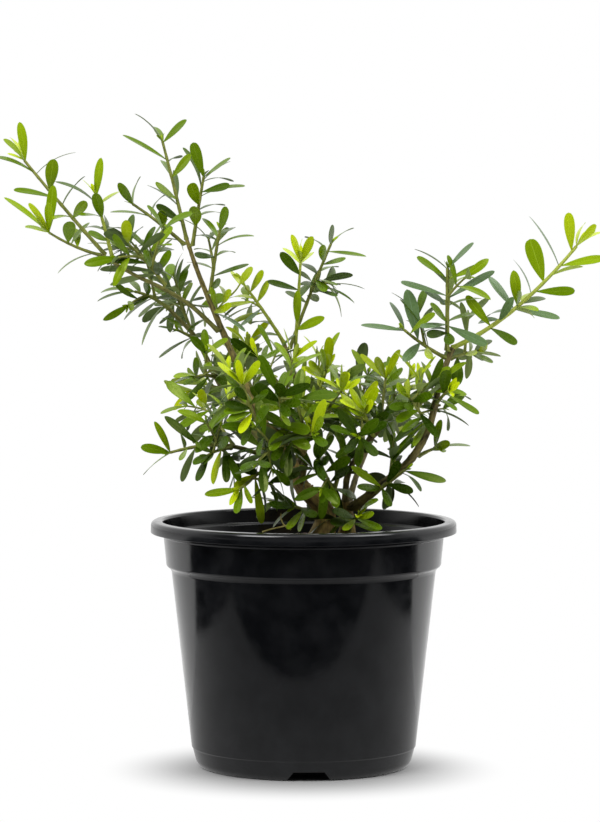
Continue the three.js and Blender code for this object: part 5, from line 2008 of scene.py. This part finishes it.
class Growth:
    """The rule that the crown grows by: opposite pairs of leaves, each a quarter round from the last."""

    STEM_RADII = (1.25, 0.95)  # at foot and tip, mm
    STEM_BARE_LENGTH = 8  # mm of a stem below its first leaves
    STEM_BARE_MOST = 0.3  # and no more than this share of it
    TWIG_RADII = (1.0, 0.9)
    TWIG_LENGTH = 22
    TWIG_SPAN = (0.8, 0.4)  # the shortest twig and what chance adds, as shares of that
    TWIG_PAIRS = 2
    TWIG_BARE = 0.5
    TWIG_BOW = 1.5
    TWIG_LEAN = 50  # degrees from the stem
    TWIG_SPREAD = (15, 7)  # degrees that its bearing and its lean may be off
    TWIG_FIRST = 0.28  # where the twigs begin, as a share of the stem
    TWIG_RANGE = 0.5  # the share of it that carries them
    TWIG_SHIFT = 0.4  # of the first twig, in steps from one to the next
    TWIG_ROLL = 45  # degrees from the stem's first pair of leaves to its first twig
    TWIG_TURN = 137  # and from each twig to the next
    TWIG_LEAF_SIZE = 0.9
    TWIG_LEAF_ROLL = 30
    LEAF_LENGTH = 25
    LEAF_SPAN = (0.88, 0.24)  # the shortest leaf and what chance adds, as shares of that
    PAIR_SPAN = (0.94, 0.1)  # the end pairs' size, and what is added half-way up
    LEAF_ROOT = 0.4  # mm from its shoot's middle line back to its root
    LEAF_LEAN = 52  # degrees from its shoot
    LEAF_LEAN_TIP = 44
    LEAF_LEAN_LAST = 34
    TURN_SPREAD = (12, 7)  # degrees that a leaf's bearing may be off, and what each further try adds
    LEAN_SPREAD = (8, 2.5)  # and its lean
    LAST_PAIR = 0.985  # where a shoot's last pair sits, as a share of it
    LAST_PAIR_SIZE = 0.92
    TWIST = 28  # degrees
    LIGHT = Vector((0.1, -0.75, 0.65))  # where the light comes from
    TRIES = 6
    SPACE = 46  # mm that a leaf's tip may be from its mass's stem

    def stem_of(self, mass: Mass, limb: Limb) -> Shoot:
        """Grows a mass's own stem.

        Args:
            mass: The mass of foliage.
            limb: The limb that carries it.

        Returns:
            The stem.
        """
        tip = Vector(mass.tip)
        path = BowedPath(limb.foot_on(mass.at, tip, self.STEM_RADII[0]), tip, mass.bow)
        bare = min(self.STEM_BARE_MOST, self.STEM_BARE_LENGTH / path.length)
        return Shoot(path, mass.pairs, mass.roll, mass.leaf, bare, self.STEM_RADII, mass.young,
                     mass.facing, limb.path.point_at(mass.at))

    def twigs_of(self, mass: Mass, stem: Shoot, dice: Dice) -> Iterator[Shoot]:
        """Grows a mass's side twigs.

        Args:
            mass: The mass of foliage.
            stem: Its stem.
            dice: Its random numbers.

        Yields:
            The twigs, from the foot up.
        """
        upright = stem.path.is_upright
        for k in range(mass.twigs):
            share = self.TWIG_FIRST + self.TWIG_RANGE * (k + self.TWIG_SHIFT) / mass.twigs
            foot, tangent = stem.path.point(share), stem.path.tangent(share)
            turn = dice.angle_near(mass.roll + self.TWIG_ROLL + self.TWIG_TURN * k, self.TWIG_SPREAD[0])
            lean = dice.angle_near(self.TWIG_LEAN, self.TWIG_SPREAD[1])
            way = heading(tangent, square_to(tangent, upright), turn, lean)
            end = foot + way * self.TWIG_LENGTH * (self.TWIG_SPAN[0] + self.TWIG_SPAN[1] * dice.roll())
            yield Shoot(
                path=BowedPath(foot, end, self.TWIG_BOW), pairs=self.TWIG_PAIRS,
                roll=mass.roll + self.TWIG_LEAF_ROLL, leaf=mass.leaf * self.TWIG_LEAF_SIZE,
                bare=self.TWIG_BARE, radii=self.TWIG_RADII,
                young=self.TWIG_PAIRS if mass.is_young else min(1, mass.young),
                facing=mass.facing, start=foot,
            )

    def leaf_place(
        self, centre: Vector, tangent: Vector, square: tuple[Vector, Vector],
        turn: float, lean: float, twist: float, length: float, facing: float,
    ) -> LeafPlace:
        """Works out one way that a leaf may stand.

        Args:
            centre: The middle of its shoot at its node.
            tangent: The shoot's direction there.
            square: Two directions square to the shoot.
            turn: The leaf's bearing round the shoot.
            lean: Its angle from the shoot.
            twist: Its turn about its own length.
            length: Its length.
            facing: How far it turns to the light.

        Returns:
            The place.
        """
        along = heading(tangent, square, turn, lean)
        lit = tangent + self.LIGHT * facing
        width = Matrix.Rotation(twist, 3, along) @ along.cross(lit).normalized()
        face = width.cross(along).normalized()
        return LeafPlace(centre - along * self.LEAF_ROOT, along, width, face, length)

    def ways_for_leaves(self, shoot: Shoot, dice: Dice) -> Iterator[tuple[int, list[LeafPlace]]]:
        """Lists the leaves up a shoot, each with the ways that it may stand.

        Args:
            shoot: The shoot.
            dice: Its mass's random numbers.

        Yields:
            The number of the leaf's pair from the foot, and its ways, each freer than the one before.
        """
        upright = shoot.path.is_upright
        for k in range(shoot.pairs):
            step = k / (shoot.pairs - 1) if shoot.pairs > 1 else 1
            is_last = k == shoot.pairs - 1
            share = shoot.share_of(k)
            centre, tangent = shoot.path.point(share), shoot.path.tangent(share)
            square = square_to(tangent, upright)
            fuller = self.PAIR_SPAN[0] + self.PAIR_SPAN[1] * math.sin(math.pi * step)
            size = shoot.leaf * (self.LAST_PAIR_SIZE if is_last else fuller)
            lean = self.LEAF_LEAN_LAST if is_last else lerp(self.LEAF_LEAN, self.LEAF_LEAN_TIP, step)
            for opposite in (0, 180):
                length = self.LEAF_LENGTH * size * (self.LEAF_SPAN[0] + self.LEAF_SPAN[1] * dice.roll())
                yield k, [
                    self.leaf_place(
                        centre, tangent, square,
                        dice.angle_near(
                            shoot.roll + 90 * k + opposite, self.TURN_SPREAD[0] + self.TURN_SPREAD[1] * t
                        ),
                        dice.angle_near(lean, self.LEAN_SPREAD[0] + self.LEAN_SPREAD[1] * t),
                        dice.angle_near(0, self.TWIST), length, shoot.facing,
                    )
                    for t in range(self.TRIES)
                ]


@dataclass
class Crown:
    """All the foliage: stems, twigs and leaves, grown from the limbs in place of the masses' solids."""

    limbs: dict[str, Limb]
    growth: Growth = field(default_factory=Growth)
    mouth_radius: float = 87.5  # of the pot
    rim_clearance: float = 1.5
    rim_top: float = 153.3
    mix_top: float = 140
    shade_top: float = 215  # below this height
    shade_reach: float = 75  # and this near the middle, leaves take the darker tints: painted shade
    stem_marks: int = 8  # places up a stem that a leaf's tip is measured from
    twig_sides: int = 8
    twig_step: float = 2.2
    slimmer: tuple[float, float] = (0.92, 0.62)  # twigs' radii at both ends, as shares of their solids' foot
    bud_leaves: tuple[float, float] = (0.3, 0.5)  # the pairs round a growing tip's bud, as shares of a leaf
    resting_leaves: tuple[float, float] = (0.14, 0.26)  # and round a resting tip's
    side_shoots: float = 0.3  # share of the leaf axils with a small side shoot
    inner_reach: tuple[float, float] = (12, 24)  # the length of the twigs in the shade, mm
    inner_pairs: int = 3
    inner_facing: float = 0.9
    seen_nodes: int = 80  # places up a stem where a seen leaf may sit
    seen_depth: float = 19  # mm that a seen leaf's tip may lie in front of its root or behind it
    edge_on: float = 0.45  # a leaf that shows less than this share of its breadth is seen bowed
    seen_breadth: float = 6  # mm: a leaf that looks narrower than this is one turned edge-on
    leaves: list[Leaf] = field(default_factory=list)
    blades: list[tuple[Vector, Vector, BVHTree]] = field(default_factory=list)
    shoots: list[tuple[Shoot, Wood, float]] = field(default_factory=list)  # with how stout each is

    BLADE_HALF = 0.17  # half a test blade's width, as a share of its length
    BLADE_STATIONS = ((0.25, 0.5), (0.6, 1.0), (0.97, 0.3))  # shares of its length, and of that width there
    BLADE_SECTION = ((-1, 0.25), (1, 0.25), (0, -0.35))  # across it, in half widths, and up from it, in mm
    BLADE_BEND = 0.07  # how far its tip bends down, as a share of its length
    BUD_STEP = (0.3, 0.8)  # mm from a shoot's tip to the first small pair there, and on to the next
    BUD_LEAN = (22, 9)  # degrees that the first pair leans, and how much less the next one does
    BUD_SPREAD = (10, 6, 10)  # degrees that their bearing, lean and twist may be off
    BUD_LENGTH = (0.85, 1.15)
    BUD_FULL = 0.6  # share of a resting tip's small leaves that are of full colour
    SIDE_LEAN = 38  # degrees of a side shoot from its stem
    SIDE_SPREAD = (10, 8)  # degrees that its bearing and its lean may be off
    SIDE_LENGTH = (5, 9)
    SIDE_BOW = 0.4
    SIDE_ROLL = 45
    SIDE_LEAF = (0.4, 0.6)
    SIDE_BARE = 0.6
    SIDE_RADII = (0.6, 0.5)
    SIDE_OLD = 0.7  # share of them that aren't fresh growth
    INNER_RANGE = (0.25, 0.95)  # the part of its stem that carries inner twigs
    INNER_ASIDE = ((-0.9, 0.9), (0.5, 1.0), (-0.5, 0.6))  # least and most of their heading's x, y and z
    INNER_ALONG = 0.4  # and how much of the stem's own direction is added
    INNER_BOW = 1
    INNER_LEAF = 0.9
    INNER_BARE = 0.3
    INNER_RADII = (0.75, 0.6)
    TWIG_ROOT = 1.15  # the radius of a twig inside its carrier, as a share of the usual
    TWIG_FOOT = (0.3, 1.5)  # how much wider it is at its foot, and over how many mm
    TWIG_JOINT = (0.16, 1.1)  # and so at each pair of leaves
    TWIG_END = (0.6, 0.5)  # how many mm its blunt end reaches, and how wide that is
    TWIG_EDGE = 0.05  # how far its four edges stand out, as a share

    def clears_pot(self, low: Vector, high: Vector) -> bool:
        """Tells whether a box stays over the mix, and inside the pot's mouth or above its rim.

        Args:
            low: The box's lowest corner.
            high: Its highest corner.

        Returns:
            Whether it does.
        """
        reach = math.hypot(max(-low.x, high.x), max(-low.y, high.y))
        inside = low.z > self.mix_top + 1 and reach < self.mouth_radius - 2 * self.rim_clearance
        return low.z > self.rim_top + self.rim_clearance or inside

    def blade_of(self, place: LeafPlace) -> tuple[Vector, Vector, BVHTree]:
        """Makes the simple blade that stands for a leaf when its clearance is tested.

        Args:
            place: Where the leaf stands.

        Returns:
            Its box's lowest and highest corner, and its searchable faces.
        """
        half = place.length * self.BLADE_HALF
        points = [
            place.root + place.along * share * place.length + place.width * side * half * size
            + place.face * level - place.face * place.length * self.BLADE_BEND * share ** 2
            for share, size in self.BLADE_STATIONS
            for side, level in self.BLADE_SECTION
        ]
        faces = [
            face
            for i in (0, 3)
            for j, k in ((0, 1), (1, 2), (2, 0))
            for face in ((i + j, i + k, i + 3 + k), (i + j, i + 3 + k, i + 3 + j))
        ]
        low = Vector(map(min, *points))
        high = Vector(map(max, *points))
        return low, high, BVHTree.FromPolygons(points, faces)

    def try_blade(self, place: LeafPlace) -> bool:
        """Puts a leaf's blade in its place if nothing is there yet.

        Args:
            place: Where the leaf would stand.

        Returns:
            Whether it was put there.
        """
        low, high, tree = self.blade_of(place)
        if not self.clears_pot(low, high):
            return False
        for other_low, other_high, other in self.blades:
            apart = any(low[i] > other_high[i] or high[i] < other_low[i] for i in range(3))
            if not apart and tree.overlap(other):
                return False
        self.blades.append((low, high, tree))
        return True

    def tint_of(self, shoot: Shoot, pair: int, place: LeafPlace, dice: Dice) -> Tint:
        """Picks a leaf's tint from its age and its place in the crown, with darker tints as painted shade low
        in its middle.

        Args:
            shoot: The shoot that carries it.
            pair: Its pair, from the foot.
            place: Where it stands.
            dice: Where chance comes from.

        Returns:
            The tint.
        """
        age = shoot.pairs - 1 - pair
        if age < shoot.young:
            row = (Tint.YOUNG, Tint.YOUNG, Tint.FRESH) if age else (Tint.TENDER, Tint.YOUNG, Tint.YOUNG)
            if shoot.young > 3 and age > shoot.young / 2:
                row = (Tint.FRESH, Tint.FULL, Tint.YOUNG)
        elif age == shoot.young and shoot.young:
            row = (Tint.FRESH, Tint.FULL, Tint.FULL)
        # Low in the crown's middle, darker tints paint the shade there.
        elif place.root.z < self.shade_top and abs(place.root.x) < self.shade_reach:
            row = (Tint.SHADE, Tint.DARK, Tint.DARK)
        else:
            row = (Tint.DARK, Tint.MATURE, Tint.FULL)
        return row[min(2, int(dice.roll() * 3))]

    def dress(self, place: LeafPlace, tint: Tint, dice: Dice) -> None:
        """Gives a leaf its own small differences and keeps it.

        Args:
            place: Where it stands.
            tint: Its tint.
            dice: Where chance comes from.
        """
        habit = SOFT_LEAF if tint in (Tint.YOUNG, Tint.TENDER) else FIRM_LEAF
        self.leaves.append(habit.vary(place, tint, dice))

    def set_seen(self, seen: SeenLeaf, path: Path, dice: Dice) -> None:
        """Sets a leaf where the photo shows it, on the nearest part of its stem.

        Args:
            seen: What the photo shows of it.
            path: Its stem's line.
            dice: Where chance comes from.
        """
        nodes = [path.point(i / self.seen_nodes) for i in range(self.seen_nodes + 1)]
        root = min(nodes, key=lambda node: (PHOTO_CAMERA.pixel_of(node) - seen.root).length)
        flat = (PHOTO_CAMERA.point_at(seen.tip, root.y) - root).length
        depth = min(self.seen_depth, math.sqrt(max(0.0, Growth.LEAF_LENGTH ** 2 - flat ** 2)))
        reach = PHOTO_CAMERA.point_at(seen.tip, root.y + seen.side * depth) - root
        along = reach.normalized()
        shown = seen.breadth * (root.y - PHOTO_CAMERA.place[1]) / PHOTO_CAMERA.focal
        breadth = max(shown, self.seen_breadth)
        to_viewer = (-PHOTO_CAMERA.ahead - along * -PHOTO_CAMERA.ahead.dot(along)).normalized()
        upward = along.cross(to_viewer)
        if upward.z < 0:
            upward = -upward
        turn = math.asin(min(1.0, shown / breadth))
        if seen.look.islower():
            turn = -turn
        face = to_viewer * math.sin(turn) + upward * math.cos(turn)
        tints = LOOKS[seen.look.upper()]
        place = LeafPlace(root, along, along.cross(face), face, reach.length)
        self.blades.append(self.blade_of(place))
        tint = tints[int(dice.roll() * len(tints))]
        habit = SEEN_EDGE_ON if shown < self.edge_on * breadth else SEEN_LEAF
        self.leaves.append(habit.vary(place, tint, dice, breadth / place.length))

    def seen_shoot(self, seen: SeenShoot) -> Shoot:
        """Lays a small shoot where the photo shows it, from the nearest part of its limb.

        Args:
            seen: What the photo shows of it.

        Returns:
            The shoot.
        """
        limb = self.limbs[seen.limb]
        pixels = [Vector(pixel) for pixel in seen.line]
        shares = [i / self.seen_nodes for i in range(self.seen_nodes + 1)]
        seats = {share: PHOTO_CAMERA.pixel_of(limb.path.point_at(share)) for share in shares}
        at = min(shares, key=lambda share: (seats[share] - pixels[0]).length)
        start = limb.path.point_at(at)
        foot = start - PHOTO_CAMERA.ahead * (limb.radius_at(at) + GAP)
        depths = [foot.y - seen.lean * k for k in range(1, len(pixels))]
        places = [PHOTO_CAMERA.point_at(pixel, depth) for pixel, depth in zip(pixels[1:], depths)]
        return Shoot(
            path=SmoothPath([foot, *places]), pairs=seen.pairs, roll=0, leaf=seen.bud, bare=seen.bare,
            radii=seen.radii, young=seen.pairs, facing=seen.facing, start=start,
        )

    def add_buds(self, shoot: Shoot, dice: Dice) -> None:
        """Adds the small close pairs of leaves round the bud at a shoot's tip.

        Args:
            shoot: The shoot.
            dice: Where chance comes from.
        """
        centre, tangent = shoot.path.point(1), shoot.path.tangent(1)
        square = square_to(tangent, shoot.path.is_upright)
        sizes = self.bud_leaves if shoot.young else self.resting_leaves
        for k, size in enumerate(reversed(sizes)):
            for opposite in (0, 180):
                place = self.growth.leaf_place(
                    centre + tangent * (self.BUD_STEP[0] + self.BUD_STEP[1] * k), tangent, square,
                    dice.angle_near(shoot.roll + 90 * (shoot.pairs + k) + opposite, self.BUD_SPREAD[0]),
                    dice.angle_near(self.BUD_LEAN[0] - self.BUD_LEAN[1] * k, self.BUD_SPREAD[1]),
                    dice.angle_near(0, self.BUD_SPREAD[2]),
                    Growth.LEAF_LENGTH * shoot.leaf * size * dice.between(*self.BUD_LENGTH), shoot.facing,
                )
                tint = Tint.TENDER if shoot.young else (Tint.FULL, Tint.FRESH)[dice.roll() > self.BUD_FULL]
                self.dress(place, tint, dice)

    def side_shoots_of(self, shoot: Shoot, dice: Dice) -> Iterator[Shoot]:
        """Grows the small side shoots in a stem's leaf axils, finer than any that the solids have.

        Args:
            shoot: The stem.
            dice: Where chance comes from.

        Yields:
            The side shoots.
        """
        upright = shoot.path.is_upright
        for k in range(shoot.pairs - 1 - shoot.young):
            share = shoot.share_of(k)
            foot, tangent = shoot.path.point(share), shoot.path.tangent(share)
            square = square_to(tangent, upright)
            for opposite in (0, 180):
                if dice.roll() > self.side_shoots:
                    continue
                turn = dice.angle_near(shoot.roll + 90 * k + opposite, self.SIDE_SPREAD[0])
                lean = dice.angle_near(self.SIDE_LEAN, self.SIDE_SPREAD[1])
                end = foot + heading(tangent, square, turn, lean) * dice.between(*self.SIDE_LENGTH)
                yield Shoot(
                    path=BowedPath(foot, end, self.SIDE_BOW), pairs=1, roll=shoot.roll + self.SIDE_ROLL,
                    leaf=shoot.leaf * dice.between(*self.SIDE_LEAF), bare=self.SIDE_BARE,
                    radii=self.SIDE_RADII, young=int(dice.roll() > self.SIDE_OLD),
                    facing=shoot.facing, start=foot,
                )

    def inner_twigs_of(self, mass: Mass, stem: Shoot, dice: Dice) -> Iterator[Shoot]:
        """Grows the twigs that fill the shade behind a mass's leaves, which the photo shows only as darkness.

        Args:
            mass: The mass of foliage.
            stem: Its stem.
            dice: Where chance comes from.

        Yields:
            The twigs, from the foot up.
        """
        for k in range(mass.inner):
            share = lerp(*self.INNER_RANGE, (k + 0.5) / mass.inner)
            foot, tangent = stem.path.point(share), stem.path.tangent(share)
            aside = Vector([dice.between(*span) for span in self.INNER_ASIDE])
            way = (tangent * self.INNER_ALONG + aside).normalized()
            end = foot + way * dice.between(*self.inner_reach)
            yield Shoot(
                path=BowedPath(foot, end, self.INNER_BOW), pairs=self.inner_pairs, roll=dice.between(0, 90),
                leaf=stem.leaf * self.INNER_LEAF, bare=self.INNER_BARE, radii=self.INNER_RADII, young=0,
                facing=self.inner_facing, start=foot,
            )

    def add_small(self, mass: Mass, shoot: Shoot, dice: Dice) -> None:
        """Adds a small shoot and its leaves, if any of them finds room.

        Args:
            mass: The mass that it belongs to.
            shoot: The shoot.
            dice: Where chance comes from.
        """
        kept = 0
        for pair, ways in self.growth.ways_for_leaves(shoot, dice):
            place = next((way for way in ways if self.try_blade(way)), None)
            if place:
                self.dress(place, self.tint_of(shoot, pair, place, dice), dice)
                kept += 1
        if kept:
            self.shoots.append((shoot, self.wood_of(mass, shoot), 1))
            self.add_buds(shoot, dice)

    def grow(self) -> None:
        """Grows every mass: all the stems and twigs first, and then the leaves."""
        grown = []
        for index, mass in enumerate(FOLIAGE):
            dice = Dice(GROWTH_SEED + GROWTH_SEED_STEP * index)
            stem = self.growth.stem_of(mass, self.limbs[mass.limb])
            twigs = enumerate(self.growth.twigs_of(mass, stem, dice), 1)
            grown.append((mass, dice, [stem, *(twig for k, twig in twigs if k not in mass.bare)]))
        finer = Dice(DETAIL_SEED + 1)
        for mass, _, shoots in grown:
            for row in SEEN_ROWS.get(mass.name, ()):
                self.set_seen(SeenLeaf(*row), shoots[0].path, finer)
        for seen in SEEN_SHOOTS:
            shoot = self.seen_shoot(seen)
            self.shoots.append((shoot, Wood.LIME, 1))
            for row in seen.leaves:
                self.set_seen(SeenLeaf(*row), shoot.path, finer)
            self.add_buds(shoot, finer)
        for mass, dice, shoots in grown:
            stem = shoots[0]
            stem_points = [stem.path.point(i / self.stem_marks) for i in range(self.stem_marks + 1)]
            for shoot in shoots:
                stout = mass.stout if shoot is stem else 1
                self.shoots.append((shoot, self.wood_of(mass, shoot), stout))
                is_set = shoot is stem and mass.name in SEEN_ROWS
                for pair, ways in self.growth.ways_for_leaves(shoot, dice):
                    for place in () if is_set else ways:
                        near = any((point - place.tip).length < self.growth.SPACE for point in stem_points)
                        if near and self.try_blade(place):
                            self.dress(place, self.tint_of(shoot, pair, place, finer), finer)
                            break
                self.add_buds(shoot, finer)
        for mass, _, shoots in grown:
            for twig in self.inner_twigs_of(mass, shoots[0], finer):
                self.add_small(mass, twig, finer)
            if mass.name not in SEEN_ROWS:
                for small in self.side_shoots_of(shoots[0], finer):
                    self.add_small(mass, small, finer)

    def wood_of(self, mass: Mass, shoot: Shoot) -> Wood:
        """The age of a shoot's bark, from how much of it is fresh growth."""
        if mass.is_young or shoot.young >= shoot.pairs:
            return Wood.LIME
        return Wood.GREEN

    def twig_rings(self, shoot: Shoot, stout: float) -> tuple[list[list[Vector]], list[tuple[float, float]]]:
        """Makes the rings of a twig, four-angled and swollen at its leaf pairs.

        Args:
            shoot: The twig.
            stout: Its thickness, as a share of the usual.

        Returns:
            The rings and their lengthwise coordinates.
        """
        path, length = shoot.path, shoot.path.length
        steps = max(3, round(length / self.twig_step))
        joints = [shoot.share_of(k) for k in range(shoot.pairs)]
        stations = [(shoot.start, path.tangent(0), shoot.radii[0] * self.TWIG_ROOT, 0.0)]
        (foot, foot_fall), (bulge, fall) = self.TWIG_FOOT, self.TWIG_JOINT
        for i in range(steps + 1):
            t = i / steps
            wider = 1 + foot * math.exp(-t * length / foot_fall)
            radius = stout * shoot.radii[0] * lerp(*self.slimmer, t) * wider
            swell = sum(bulge * math.exp(-(((t - joint) * length) / fall) ** 2) for joint in joints)
            stations.append((path.point(t), path.tangent(t), radius * (1 + swell), t * length))
        end, tangent, radius, along = stations[-1]
        beyond, narrower = self.TWIG_END
        stations.append((end + tangent * beyond, tangent, radius * narrower, along + beyond))
        rings, uvs = [], []
        for centre, tangent, radius, along in stations:
            square = square_to(tangent, path.is_upright)
            ring = []
            for j in range(self.twig_sides):
                angle = 2 * math.pi * j / self.twig_sides
                ring.append(ring_point(centre, square, angle, radius * (1 + self.TWIG_EDGE * (-1) ** j)))
                uvs.append((angle * radius * MM, along * MM))
            rings.append(ring)
        return rings, uvs

    def build(self) -> None:
        """Makes the joined twigs and leaves, each kind apart, in place of the masses' solids."""
        self.grow()
        names = [mass.name for mass in FOLIAGE]
        for wood in (Wood.GREEN, Wood.LIME):
            skin = Skin()
            for shoot, kind, stout in self.shoots:
                if kind is wood:
                    skin.add_rings(*self.twig_rings(shoot, stout))
            made = skin.piece(f"twigs_{wood.name.lower()}", [Bark(wood).material()])
            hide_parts(*names)
        shape = LeafShape()
        for tint in Tint:
            skin = Skin()
            for leaf in self.leaves:
                if leaf.tint is tint:
                    shape.add_to(skin, leaf)
            materials = [WaxyLeaf(tint, part).material() for part in LeafPart]
            made = skin.piece(f"leaves_{tint.name.lower()}", materials, sharp=60)
            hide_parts(*names)
        LOG.info("%d leaves on %d shoots", len(self.leaves), len(self.shoots))


# Studio

@dataclass
class Studio:
    """A pale sweep, soft light from above and behind, a darker room in front, and the photo's camera."""

    sensor: float = 36
    floor_size: float = 9000
    table_left: float = -350  # where the bright table ends, as the pot's reflections show
    table_right: float = 390
    table_front: tuple[float, float] = (-190, -245)  # at its left and right corner
    table_back: float = 120  # where the white backdrop begins, wider than the table
    flag_size: float = 4000
    clip: tuple[float, float] = (0.1, 100)  # metres
    aim_height: float = 200  # of what the softboxes face
    softbox_size: float = 900
    behind: tuple[float, float] = (-0.55, 0.25)  # where the room turns from dim to white, from front to back
    above: tuple[float, float] = (0.35, 0.85)  # and from the side to overhead
    dim: float = 0.1  # how bright the room's front is

    def add_camera(self) -> None:
        """Adds the camera at the photo's place and angle."""
        data = bpy.data.cameras.new("camera")
        data.sensor_width = self.sensor
        data.lens = PHOTO_CAMERA.focal * self.sensor / PHOTO_CAMERA.height
        data.clip_start, data.clip_end = self.clip
        camera = bpy.data.objects.new("camera", data)
        camera.location = Vector(PHOTO_CAMERA.place) * MM
        camera.rotation_euler = (math.radians(90 - PHOTO_CAMERA.pitch), 0, 0)
        bpy.context.scene.collection.objects.link(camera)
        bpy.context.scene.camera = camera

    def add_sheet(self, name: str, corners: Sequence[tuple[float, float]], height: float) -> bpy.types.Object:
        """Adds a flat sheet that isn't part of the object.

        Args:
            name: Its name.
            corners: The x and y of its corners, in mm, as seen from above against the clock.
            height: How high it lies, in mm.

        Returns:
            The sheet.
        """
        mesh = bpy.data.meshes.new(name)
        points = [tuple(Vector((x, y, height)) * MM) for x, y in corners]
        mesh.from_pydata(points, [], [tuple(range(len(corners)))])
        sheet = bpy.data.objects.new(name, mesh)
        bpy.context.scene.collection.objects.link(sheet)
        sheet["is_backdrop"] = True
        return sheet

    def add_floor(self) -> None:
        """Adds the pale floor, and black flags that only reflections see past the bright table's edges."""
        half = self.floor_size
        floor = self.add_sheet("floor", ((-half, -half), (half, -half), (half, half), (-half, half)), 0)
        floor.data.materials.append(SweepPaper().material())
        # Black flags that only reflections see: a painted reflection of a dark room past the bright table's
        # edges.
        black = bpy.data.materials.new("dark_room_reflection")
        black.use_nodes = True
        black.node_tree.nodes["Principled BSDF"].inputs["Base Color"].default_value = linear(0x050505)
        black.node_tree.nodes["Principled BSDF"].inputs["Specular IOR Level"].default_value = 0.0
        far, left, right, back = self.flag_size, self.table_left, self.table_right, self.table_back
        left_front, right_front = self.table_front
        flags = {
            "flag_front": ((-far, -far), (far, -far), (right, right_front), (left, left_front)),
            "flag_left": ((-far, -far), (left, left_front), (left, back), (-far, back)),
            "flag_right": ((far, -far), (far, back), (right, back), (right, right_front)),
        }
        cards = {name: (corners, black) for name, corners in flags.items()}
        table = ((left, left_front), (right, right_front), (right, back), (left, back))
        cards["table_card"] = (table, TableGlow().material())
        for name, (corners, material) in cards.items():
            card = self.add_sheet(name, corners, 1)
            card.data.materials.append(material)
            card.visible_camera = card.visible_diffuse = False
            card.visible_shadow = card.visible_transmission = False

    def add_softbox(self, name: str, place: tuple[float, float, float], power: float) -> None:
        """Adds a square soft light that faces the middle of the plant.

        Args:
            name: Its name.
            place: Where it hangs, in mm.
            power: Its power, in watts.
        """
        data = bpy.data.lights.new(name, "AREA")
        data.shape, data.size, data.energy = "SQUARE", self.softbox_size * MM, power
        light = bpy.data.objects.new(name, data)
        light.location = Vector(place) * MM
        aim = Vector((0, 0, self.aim_height)) * MM - light.location
        light.rotation_euler = aim.to_track_quat("-Z", "Y").to_euler()
        bpy.context.scene.collection.objects.link(light)

    def light_room(self) -> None:
        """Lights the room: white behind and above, dim towards the front, and pure white where it shows."""
        world = bpy.data.worlds.new("studio")
        bpy.context.scene.world = world
        world.use_nodes = True
        tree = world.node_tree
        tree.nodes.clear()
        direction = add_node(tree, "ShaderNodeTexCoord").outputs["Generated"]
        axes = add_node(tree, "ShaderNodeSeparateXYZ", links={"Vector": direction})
        behind = add_range(tree, axes.outputs["Y"], self.behind, (self.dim, 1.0), smooth=True)
        above = add_range(tree, axes.outputs["Z"], self.above, (0.0, 1.0), smooth=True)
        bright = add_node(tree, "ShaderNodeMath", {"operation": "MAXIMUM"}, {0: behind, 1: above})
        room = add_node(tree, "ShaderNodeBackground", {"Strength": 1.0}, {"Color": bright.outputs["Value"]})
        shown = add_node(tree, "ShaderNodeBackground", {"Color": (1, 1, 1, 1), "Strength": 1.0})
        seen = add_node(tree, "ShaderNodeLightPath").outputs["Is Camera Ray"]
        mixed = add_node(
            tree, "ShaderNodeMixShader", links={0: seen, 1: room.outputs[0], 2: shown.outputs[0]}
        )
        add_node(tree, "ShaderNodeOutputWorld", links={"Surface": mixed.outputs[0]})

    def build(self) -> None:
        """Adds the camera, the floor and the lights."""
        self.add_camera()
        self.add_floor()
        self.light_room()
        self.add_softbox("softbox_left", (-900, -1100, 1500), 26)
        self.add_softbox("softbox_right", (1100, -700, 1300), 15)
        bpy.context.scene.view_settings.view_transform = "Standard"


def write_sizes() -> None:
    """Gathers the CAD box and the visual model's box, and writes neither out."""
    boxes = {"cad": CAD_BOX, "visual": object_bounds()}
    {name: [list(corner) for corner in box] for name, box in boxes.items()}


def main() -> None:
    """Builds the pot, the mix, the limbs, the crown and the studio, in that order."""
    logging.basicConfig(level=logging.INFO, format="%(name)s: %(message)s")
    NurseryPot().build()
    PottingMix().build()
    grown: dict[str, Limb] = {}
    for limb in LIMBS:
        limb.grow(grown)
        grown[limb.name] = limb
        limb.build()
    Crown(grown).build()
    Studio().build()
    write_sizes()


if __name__ == "__main__":
    main()
